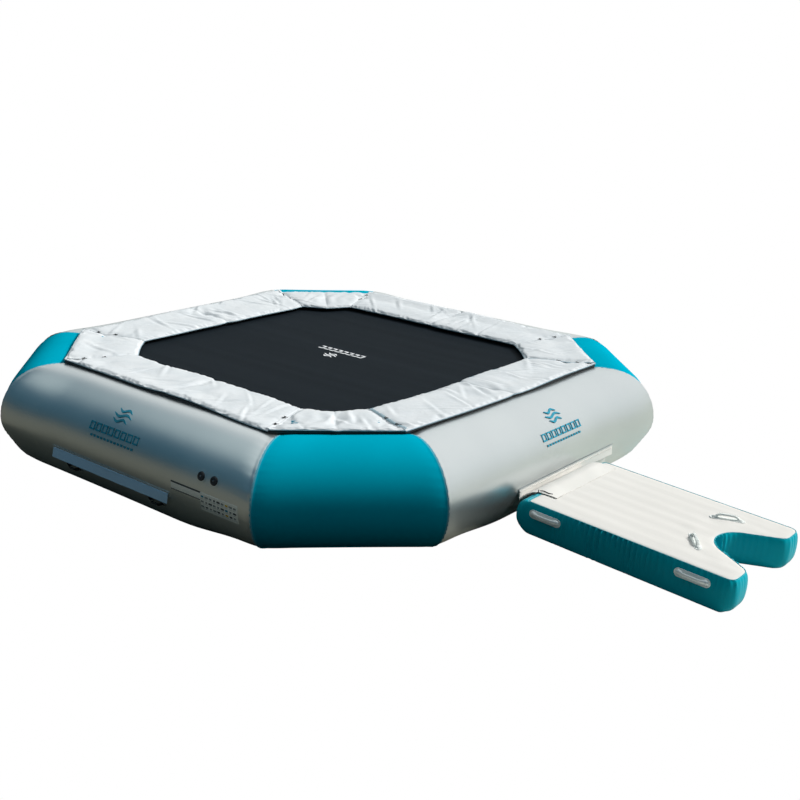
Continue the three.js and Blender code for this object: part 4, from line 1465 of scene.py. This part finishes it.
DECK_NEAR_CORNER, DECK_OUTER_CORNER = 0.045, 0.075
LOBE_SLACK = 0.014
NOTCH_BOTTOM, NOTCH_RADIUS, NOTCH_FLARE, TIP_ROUND = 1.315, 0.240, math.pi / 6, 0.055
NOTCH_X = NOTCH_BOTTOM + NOTCH_RADIUS
OUTLINE_STEP, DECK_STEP, TRIM_STEP, DECK_CELL = 0.0085, 0.02, 0.014, 0.0252
WALL_ROWS = 37
WALL_TUCK = 0.045
END_BULGE, END_REACH = 0.080, 0.10
PLEAT_DEPTH, PLEAT_PITCH, PLEAT_TOP = 0.0150, 0.046, 0.14
PLEAT_SHARES = {"middle": 1.0, "end": 0.35, "notch": 2.1}
PLEATED_MIDDLE, PLEATED_REACH, NOTCH_REACH = 0.72, 0.36, 0.16
SWELL = 0.004
THREAD_PITCH, CHANNEL_DEPTH = 0.151, 0.0011
DECK_SLACK, NOTCH_CRUMPLE = 0.0012, 0.0022
DECK_SWELL, SWELL_INSET = 0.004, 0.05
EDGE_DROP, EDGE_INSET = 0.004, 0.010
DECK_THICKNESS = 0.0035
TAPE_RADIUS = 0.0034


def bezier(start, control, end, count=9):
    t = np.linspace(0, 1, count)[:, None]
    start, control, end = (np.array(p, float) for p in (start, control, end))
    return (1 - t) ** 2 * start + 2 * (1 - t) * t * control + t ** 2 * end


def half_outline():
    """The deck's outline from the middle of its ring-side edge to the bottom of its notch, +Y half."""
    w, end = PLATFORM_HALF, PLATFORM_LENGTH - LOBE_SLACK
    cos, sin = math.cos(NOTCH_FLARE), math.sin(NOTCH_FLARE)
    arc_x, arc_y = NOTCH_X - NOTCH_RADIUS * sin, NOTCH_RADIUS * cos
    tip = arc_y + (end - arc_x) * math.tan(NOTCH_FLARE)
    near = bezier((0, w - DECK_NEAR_CORNER), (0, w), (DECK_NEAR_CORNER, w))
    outer = bezier((end - DECK_OUTER_CORNER, w), (end, w), (end, w - DECK_OUTER_CORNER))
    lobe = bezier((end, tip + TIP_ROUND), (end, tip), (end - TIP_ROUND * cos, tip - TIP_ROUND * sin))
    turn = np.linspace(math.pi / 2 + NOTCH_FLARE, math.pi, 25)
    arc = np.stack([NOTCH_X + NOTCH_RADIUS * np.cos(turn), NOTCH_RADIUS * np.sin(turn)], axis=-1)
    return np.concatenate([[(0.0, 0.0)], near, outer, lobe, arc])


def lengths(points):
    """Distance along a path to each of its points."""
    return np.concatenate([[0], np.cumsum(np.linalg.norm(np.diff(points, axis=0), axis=1))])


def platform_outline(step):
    """Even points round the deck, their outward normals, and the distance along to each."""
    half = half_outline()
    whole = np.concatenate([half, (half * [1, -1])[-2:0:-1]])[::-1]
    closed = np.concatenate([whole, whole[:1]])
    length = lengths(closed)
    at = np.linspace(0, length[-1], int(length[-1] / step), endpoint=False)
    points = np.stack([np.interp(at, length, closed[:, i]) for i in (0, 1)], axis=-1)
    ahead = np.roll(points, -1, 0) - np.roll(points, 1, 0)
    ahead /= np.linalg.norm(ahead, axis=1, keepdims=True)
    for _ in range(2):
        ahead = (np.roll(ahead, 1, 0) + ahead + np.roll(ahead, -1, 0)) / 3
    outward = np.sign((points[:, 0] * ahead[:, 1] - points[:, 1] * ahead[:, 0]).sum())
    normal = outward * np.stack([ahead[:, 1], -ahead[:, 0]], axis=-1)
    return points, normal, at


def on_platform(points, z):
    """Points of the platform's own frame, given flat with their heights."""
    points = np.asarray(points)
    local = np.stack(np.broadcast_arrays(points[..., 0], points[..., 1], z), axis=-1)
    return moved(local, PLATFORM)


def wall_profile(v, blunt):
    """Offset and height of the wall for v 0 (deck edge) to 1 (underside); blunt 1 tucks its foot under."""
    angle = math.pi * (0.04 + 0.96 * v)
    height = 0.5 * WALL_TOP * (1 + np.cos(angle))
    height = height + (WALL_TOP - height[0]) * np.clip(1 - v / 0.1, 0, 1)
    bow = np.sin(angle)
    tuck = WALL_TUCK * np.clip((v - 0.55) / 0.45, 0, 1) ** 2.2
    side = np.where(v < 0.5, BULGE * bow ** 0.9, BULGE * bow ** 0.4)[:, None]
    end = np.where(v < 0.5, BULGE * bow ** 0.9, BULGE * bow ** 0.7 - tuck)[:, None]
    return side + (end - side) * blunt, np.maximum(height, 0.0)


def pleat_amount(points):
    """How strongly the wall is pleated: most in the notch, then along the middle of the long walls."""
    x, y = points[:, 0], points[:, 1]
    long_wall = np.abs(y) > PLATFORM_HALF - 0.03
    outer_wall = x > PLATFORM_LENGTH - 0.04
    middle = np.exp(-((x - PLEATED_MIDDLE) / PLEATED_REACH) ** 4) * long_wall
    notch = (np.hypot(x - NOTCH_X, y) < NOTCH_RADIUS + NOTCH_REACH) * (x < PLATFORM_LENGTH - 0.12)
    wall = PLEAT_SHARES["end"] * outer_wall + PLEAT_SHARES["end"] * long_wall
    amount = PLEAT_SHARES["middle"] * middle + wall + PLEAT_SHARES["notch"] * notch
    return np.clip(amount, 0, PLEAT_SHARES["notch"])


def pleats(points, at, v):
    """Short upright pleats below the deck's edge, of uneven depth, length and spacing."""
    v = v[:, None]
    spacing = at * FULL_TURN / PLEAT_PITCH + 2.6 * ripples(at, 0 * at, 91, waves=6, low=3, high=12)
    lean = 1.4 * ripples(at, 0 * at, 90, low=1, high=4)[None, :] * v
    sharp = 1 - 2 * np.abs(np.sin((spacing[None, :] + lean) / 2)) ** 0.7
    strength = np.clip(0.6 + 0.55 * ripples(at, 0 * at, 92, waves=8, low=4, high=16), 0.05, 1.5)
    shortness = np.clip(1.6 + 0.9 * ripples(at, 0 * at, 93, low=8, high=30), 0.7, 3.0)
    below = np.clip(v - PLEAT_TOP, 0, 1)
    fade = np.clip(v / 0.07, 0, 1) * np.exp(-(below * shortness[None, :] * 1.9) ** 2)
    return PLEAT_DEPTH * fade * (pleat_amount(points) * strength)[None, :] * sharp


def end_bulge(points, v):
    """How far the platform's end bulges under the flap, towards the ring."""
    x, y = points[:, 0], points[:, 1]
    blunt = np.clip(1 - x / END_REACH, 0, 1) * np.clip(0.3 - y / 0.2, 0.3, 1)
    return END_BULGE * blunt[None, :] * np.sin(np.pi * np.clip(v * 1.05, 0, 1))[:, None] ** 0.7


def platform_chamber():
    """The teal air chamber: bulging walls from the deck's edge down to a flat underside."""
    points, normal, at = platform_outline(OUTLINE_STEP)
    v = np.linspace(0, 1, WALL_ROWS)
    offset, height = wall_profile(v, smooth(np.abs(normal[:, 0]) * 1.3)[None, :])
    swell = SWELL * ripples(at, 0 * at, 94, low=1.5, high=5)[None, :] * np.sin(np.pi * v)[:, None]
    outward = offset + pleats(points, at, v) + swell - 0.002
    rows = points[None] + normal[None] * outward[..., None]
    rows[..., 0] -= end_bulge(points, v)
    build = Build()
    build.add(on_platform(rows, height[:, None]), loop_faces(WALL_ROWS, len(points)))
    piece = build.finish("platform_skin", [PLATFORM_TEAL], sharp=40)
    # The top rows, at the deck's edge, carry the pale seam line with its painted highlight.
    add_seam(piece, np.clip(1 - v / 0.05, 0, 1)[:, None] * np.ones(len(points))[None])
    return settle(piece, "platform", "teal_skin", "platform_chamber")


def deck_rise(x, y):
    """The deck's gentle relief: long quilted channels from the threads inside and slack near the notch."""
    channel = CHANNEL_DEPTH * np.cos(y * FULL_TURN / THREAD_PITCH)
    slack = DECK_SLACK * ripples(x, y, 61, waves=9, low=3, high=14)
    near_notch = bell(np.hypot(x - 1.5, y) - 0.36, 0.14)
    return channel + slack + NOTCH_CRUMPLE * near_notch * ripples(x, y, 62, waves=9, low=14, high=45)


def cut_deck(work, outline):
    """A flat face inside the outline, cut into small cells lengthwise and across."""
    work.faces.new([work.verts.new((x, y, 0)) for x, y in outline])
    for axis, low, high in ((0, 0, PLATFORM_LENGTH), (1, -PLATFORM_HALF, PLATFORM_HALF)):
        normal = Vector((axis == 0, axis == 1, 0))
        for cut in np.arange(low + 0.0151, high, DECK_CELL):
            parts = work.verts[:] + work.edges[:] + work.faces[:]
            bmesh.ops.bisect_plane(work, geom=parts, plane_co=normal * cut, plane_no=normal, dist=1e-5)


def outline_distance(x, y, outline):
    """Distance from a place to the nearest point of a closed outline."""
    place = np.array([x, y])
    step = np.roll(outline, -1, 0) - outline
    t = np.clip(((place - outline) * step).sum(1) / (step ** 2).sum(1), 0, 1)
    return np.linalg.norm(outline + step * t[:, None] - place, axis=1).min()


def platform_deck():
    """The non-slip sheet, cut on a grid so that it can carry its relief, with a thin rolled edge."""
    outline, normal, _ = platform_outline(DECK_STEP)
    work = bmesh.new()
    cut_deck(work, outline - normal * 0.0005)
    for vertex in work.verts:
        x, y, _ = vertex.co
        inset = outline_distance(x, y, outline)
        rise = (deck_rise(x, y) + DECK_SWELL) * (1 - bell(inset, SWELL_INSET))
        vertex.co = PLATFORM @ Vector((x, y, DECK_TOP + rise - EDGE_DROP * bell(inset, EDGE_INSET)))
    mesh = bpy.data.meshes.new("deck_sheet")
    work.to_mesh(mesh)
    work.free()
    mesh.materials.append(DECK)
    mesh.polygons.foreach_set("use_smooth", [True] * len(mesh.polygons))
    if sum(polygon.normal.z for polygon in mesh.polygons) < 0:
        mesh.flip_normals()
    piece = bpy.data.objects.new("deck_sheet", mesh)
    bpy.context.scene.collection.objects.link(piece)
    solid = piece.modifiers.new("thickness", "SOLIDIFY")
    solid.thickness = DECK_THICKNESS
    solid.offset = -1
    return settle(piece, "platform", "deck_vinyl", "platform_deck")


def deck_trim():
    """Welded tape round the deck's edge."""
    points, normal, _ = platform_outline(TRIM_STEP)
    build = Build()
    path = on_platform(points + normal * 0.0010, DECK_TOP - DECK_THICKNESS)
    build.rod(path, TAPE_RADIUS, 8, closed=True)
    settle(build.finish("deck_edge", [PLATFORM_TEAL]), "platform", "teal_skin")


# Outlines of a handle's patch and of its lugs, as (share of the handle's width, height in metres).
HANDLE_PATCH = [(1.0, -0.003), (1.0, 0.0), (0.985, 0.0022), (0.93, 0.0036), (0.84, 0.0040), (0.80, 0.0032),
                (0.5, 0.0036), (0.02, 0.0038)]
HANDLE_LUG = [(0, 0), (0.36, 0.0), (0.35, 0.005), (0.27, 0.011), (0.15, 0.015), (0, 0.0165)]
HANDLE_RIBS = 9
BAR_AROUND, BAR_HALF_THICKNESS = 20, 0.0085


def signed_power(values, power):
    return np.sign(values) * np.abs(values) ** power


def handle_patch(build, matrix, length, width):
    """A domed capsule welded to the platform."""
    circle = unit_circle(56)
    outline = circle * width / 2
    outline[:, 0] += np.sign(circle[:, 0]) * (length - width) / 2
    rings = []
    for share, height in HANDLE_PATCH:
        scale = [1 - (1 - share) * width / length, share]
        rings.append(np.concatenate([outline * scale, np.full((len(circle), 1), height)], axis=1))
    build.add(np.concatenate(rings), loop_faces(len(rings), len(circle)), 0, matrix)


def handle_bar(build, matrix, grip, half_width, rise):
    """The flat, rounded bar that arches from lug to lug."""
    circle = unit_circle(BAR_AROUND)
    t = np.linspace(-1, 1, 37)
    height = 0.008 + (rise - 0.012) * (1 - np.abs(t) ** 4)
    narrow = 1 - 0.12 * np.cos(t * math.pi / 2)
    across = narrow[:, None] * signed_power(circle[:, 0], 0.7)[None, :] * half_width
    upward = height[:, None] + signed_power(circle[:, 1], 0.8)[None, :] * BAR_HALF_THICKNESS
    bar = np.stack(np.broadcast_arrays((t * grip / 2)[:, None], across, upward), axis=-1)
    build.add(bar, loop_faces(len(t), BAR_AROUND), 0, matrix)


def bar_handle(name, node, matrix, size, grip, rise, rubber):
    """A grab handle: a patch, two moulded lugs and a bar with fine ribs; size is its length and width."""
    length, width = size
    build = Build()
    handle_patch(build, matrix, length, width)
    for sign in (-1, 1):
        lug = Matrix.Translation((sign * grip / 2, 0, 0.001)) @ Matrix.Diagonal((1.25, 1, 1, 1))
        build.lathe([(share * width, height) for share, height in HANDLE_LUG], 36, 0, matrix @ lug)
    handle_bar(build, matrix, grip, width * 0.25, rise)
    for place in np.linspace(-0.5, 0.5, HANDLE_RIBS):
        rib = Matrix.Translation((place * grip * 0.8, 0, rise + 0.0052 - 0.002 * abs(place)))
        build.box((0.0035, width * 0.375, 0.0016), matrix @ rib, 0, 0.3)
    return settle(build.finish(name, [rubber], 40), "platform", "handle_rubber", node)


WALL_LEAN = math.radians(84)
DECK_GRIP_TURNS = {"left": math.radians(26.5), "right": math.radians(-53)}
DECK_GRIP_SIZE = (0.275, 0.060)


def add_wall_handle(label, sign, place):
    """A handle on a side wall, which leans back a little."""
    node = f"handle_{label}_{place}"
    low, high = platform_box(node)
    middle = (low + high) / 2
    wall = low.y if sign > 0 else high.y
    local = Matrix.Translation((middle.x, wall - 0.004 * sign, middle.z))
    matrix = PLATFORM @ local @ Matrix.Rotation(-sign * WALL_LEAN, 4, "X")
    size = (high.x - low.x, high.z - low.z)
    name = f"grab_handle_{label}_{place}"
    # The side handles take the paler copy of the handle rubber, painted light for their shaded walls.
    bar_handle(name, node, matrix, size, grip=0.20, rise=0.026, rubber=SIDE_HANDLE_PAINTED_LIGHT)


def add_deck_grip(label):
    """A handle on the deck, turned to run beside the notch."""
    node = f"deck_handle_{label}"
    low, high = platform_box(node)
    middle = (low + high) / 2
    local = Matrix.Translation((middle.x, middle.y, low.z + 0.004))
    matrix = PLATFORM @ local @ Matrix.Rotation(DECK_GRIP_TURNS[label], 4, "Z")
    name = f"deck_grip_{label}"
    bar_handle(name, node, matrix, DECK_GRIP_SIZE, grip=0.19, rise=0.038, rubber=HANDLE_GREY)


def add_handles():
    for label, sign in (("left", 1), ("right", -1)):
        for place in ("inner", "outer"):
            add_wall_handle(label, sign, place)
        add_deck_grip(label)


def add_platform_valve():
    """The valve on the platform's left wall."""
    low, high = platform_box("platform_valve_cap")
    middle = (low + high) / 2
    local = Matrix.Translation((middle.x, PLATFORM_HALF + BULGE, middle.z))
    matrix = PLATFORM @ local @ Matrix.Rotation(-math.pi / 2, 4, "X")
    valve_parts("platform_valve", matrix, "platform_cap", "platform")


FLAP_LIFT = 0.0085
FLAP_HUMP = 0.020
FLAP_SHORTFALL = 0.07
FLAP_HALF_WALL = 0.0015
CORD_HALF, TAIL_HALF = 0.0042, 0.0040


def on_deck(x, height):
    """A place above the deck, on the platform's middle line."""
    return PLATFORM @ Vector((x, 0, DECK_TOP + height))


def flap_path(low):
    """Distances and points [x, z] along the flap, from the strip's lower edge to its end on the deck."""
    start = Vector((low.x + 0.004, 0, low.z + 0.022))
    places = []
    for t in (0.0, 0.2, 0.4, 0.6, 0.8):
        hump = Vector((0, 0, FLAP_HUMP * math.sin(math.pi * t)))
        places.append(start.lerp(on_deck(0.0, FLAP_LIFT), t) + hump)
    places += [on_deck(x, FLAP_LIFT) for x in (0.0, 0.02, 0.07, 0.145)]
    path = np.array([(place.x, place.z) for place in places])
    length = lengths(path)
    at = np.linspace(0, length[-1], 44)
    line = np.stack([np.interp(at, length, path[:, i]) for i in (0, 1)], axis=-1)
    for _ in range(3):
        line[1:-1] = (line[:-2] + line[1:-1] * 2 + line[2:]) / 4
    return at, line[:, 0], line[:, 1]


def flap_layers(low):
    """The flap's two faces: it ripples where it hangs free, and its end on the deck is uneven."""
    at, x, z = flap_path(low)
    y = np.linspace(low.y, PLATFORM_Y + PLATFORM_HALF - FLAP_SHORTFALL, 111)
    grid_x, grid_y = np.broadcast_arrays(x[:, None], y[None])
    free = np.clip(at / 0.05, 0, 1)[:, None]
    wave = 0.0028 * ripples(grid_y, grid_x, 77, low=8, high=30) * free
    last = np.clip((at - at[-1] + 0.05) / 0.05, 0, 1)[:, None]
    ragged = 0.005 * ripples(grid_y, 0 * grid_y, 78, low=6, high=25) * last
    grid_z = z[:, None] + np.maximum(wave, -0.002)
    walls = (FLAP_HALF_WALL, -FLAP_HALF_WALL)
    return [np.stack([grid_x + ragged, grid_y, grid_z + wall], axis=-1) for wall in walls]


def add_flap_cord(build, start_y):
    """The knotted end of the cord that laces the flap, and its loose tail on the deck."""
    edge = on_deck(0.0, 0.016)
    t = np.linspace(0, 1, 15)
    knot = (edge.x - 0.035 + 0.02 * np.sin(t * 4), start_y - 0.14 * t, edge.z + 0.004 - 0.012 * t)
    tail = (edge.x - 0.02 + 0.10 * t, start_y + 0.03 * t + 0.01 * np.sin(t * 6), edge.z + 0.002 - 0.007 * t)
    build.rod(np.stack(knot, axis=-1), CORD_HALF, 8, slot=1)
    build.rod(np.stack(tail, axis=-1), TAIL_HALF, 8, slot=1)


def hinge_flap():
    """The flap from the front strip to the deck, with the cord that laces it."""
    low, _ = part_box("hinge_flap")
    build = Build()
    build.sheet(*flap_layers(low))
    add_flap_cord(build, low.y + 0.01)
    piece = build.finish("boarding_flap", [FLAP_WHITE, CORD])
    return settle_between(piece, "hinge_flap")


def add_platform():
    platform_chamber()
    platform_deck()
    deck_trim()
    add_handles()
    add_platform_valve()
    hinge_flap()


# ------------------------------------------------------------------ floor, light and camera

WHITE = (1.0, 1.0, 1.0)
FLOOR_SIZE = 300
FLOOR_LIGHT_SIDE, FLOOR_SLOPE = (0.65, 0.76, 0.0), 0.25
FLOOR_LIT = ((0.13, (0.03, 0.03, 0.022)), (0.45, (0.50, 0.52, 0.48)))
FLOOR_MIRRORED = ((0.0, (0.15, 0.145, 0.115)), (0.30, (0.60, 0.62, 0.56)))
SKY_DARK = ((0.0, (0.03, 0.05, 0.06)), (0.2, (0.012, 0.075, 0.12)), (0.60, (0.012, 0.09, 0.155)),
            (0.71, (0.58, 0.71, 0.73)), (0.85, (0.74, 0.81, 0.83)))
SKY_BRIGHT = ((0.0, (0.72, 0.75, 0.72)), (0.35, (0.92, 0.95, 0.95)), (0.8, WHITE))
SKY_BRIGHT_SIDE, BRIGHT_FROM, BRIGHT_TO = (0.1, 0.995, 0.0), 0.1, 0.5
SKY_DIFFUSE = 0.55
SUN_TOWARD = Vector((0.45, 0.62, 0.64))
SUN_STRENGTH, SUN_SPREAD, SUN_COLOUR = 3.85, math.radians(14), (1.0, 0.98, 0.95)
CAMERA_PLACE = Vector((6.2133, -7.918, 3.812))
CAMERA_TURNS = (38.688, 17.707, 2.182)
CAMERA_LENS = 51.7


def add_floor():
    """Ground that is dark on the camera's side for the light it bounces, and plain white to the camera."""
    bpy.ops.mesh.primitive_plane_add(size=FLOOR_SIZE, location=(0, 0, -0.001))
    floor = bpy.context.object
    floor.name = "floor"
    s = Shader("ground", Roughness=0.9, Specular_IOR_Level=0.0)
    seen = s.rays("Camera")
    share = s.math("MULTIPLY", s.toward(s.place, FLOOR_LIGHT_SIDE), FLOOR_SLOPE)
    base = s.mix(s.rays("Glossy"), s.ramp(share, *FLOOR_LIT), s.ramp(share, *FLOOR_MIRRORED))
    s.set(s.surface, Base_Color=s.mix(seen, base, (0.0, 0.0, 0.0)))
    s.set(s.surface, Emission_Color=WHITE, Emission_Strength=seen)
    floor.data.materials.append(s.material)


def add_world():
    """A sky that is bright overhead and behind the platform, and dark blue low down on the other sides."""
    world = bpy.data.worlds.new("sky")
    bpy.context.scene.world = world
    sky = Nodes(world)
    place = sky.node("ShaderNodeTexCoord").outputs["Generated"]
    height = sky.node("ShaderNodeSeparateXYZ", Vector=place).outputs["Z"]
    toward = sky.node("ShaderNodeMapRange", {"interpolation_type": "SMOOTHSTEP"})
    sky.set(toward, Value=sky.toward(place, SKY_BRIGHT_SIDE), From_Min=BRIGHT_FROM, From_Max=BRIGHT_TO)
    colour = sky.mix(toward.outputs[0], sky.ramp(height, *SKY_DARK), sky.ramp(height, *SKY_BRIGHT))
    background = sky.tree.nodes["Background"]
    strength = sky.math("MULTIPLY_ADD", sky.rays("Diffuse"), SKY_DIFFUSE - 1, 1.0)
    sky.set(background, Color=sky.mix(sky.rays("Camera"), colour, WHITE), Strength=strength)


def add_sun():
    """A wide, soft sun that leaves no streak on the shiny skins."""
    lamp = bpy.data.lights.new("sun", "SUN")
    lamp.energy, lamp.angle, lamp.color = SUN_STRENGTH, SUN_SPREAD, SUN_COLOUR
    sun = bpy.data.objects.new("sun", lamp)
    bpy.context.scene.collection.objects.link(sun)
    sun.visible_glossy = False
    sun.rotation_euler = SUN_TOWARD.to_track_quat("Z", "Y").to_euler()


def add_camera():
    """The camera, from its place and its azimuth, pitch and roll in degrees."""
    azimuth, pitch, roll = (math.radians(turn) for turn in CAMERA_TURNS)
    flat = Vector((math.sin(azimuth), -math.cos(azimuth), 0))
    back = flat * math.cos(pitch) + Vector((0, 0, math.sin(pitch)))
    right = (-back).cross(Vector((0, 0, 1))).normalized()
    up = right.cross(-back)
    across = right * math.cos(roll) + up * math.sin(roll)
    upward = up * math.cos(roll) - right * math.sin(roll)
    lens = bpy.data.cameras.new("camera")
    lens.lens = CAMERA_LENS
    lens.sensor_width = 36
    lens.clip_end = 400
    camera = bpy.data.objects.new("camera", lens)
    turn = Matrix((across, upward, back)).transposed().to_4x4()
    camera.matrix_world = Matrix.Translation(CAMERA_PLACE) @ turn
    bpy.context.scene.collection.objects.link(camera)
    bpy.context.scene.camera = camera


# ------------------------------------------------------------------ assembly

# Plain display colours, so that the white stage stays white.
bpy.context.scene.view_settings.view_transform = "Standard"
add_floats()
add_pads()
add_bed()
add_fittings()
add_platform()
add_floor()
add_world()
add_sun()
add_camera()
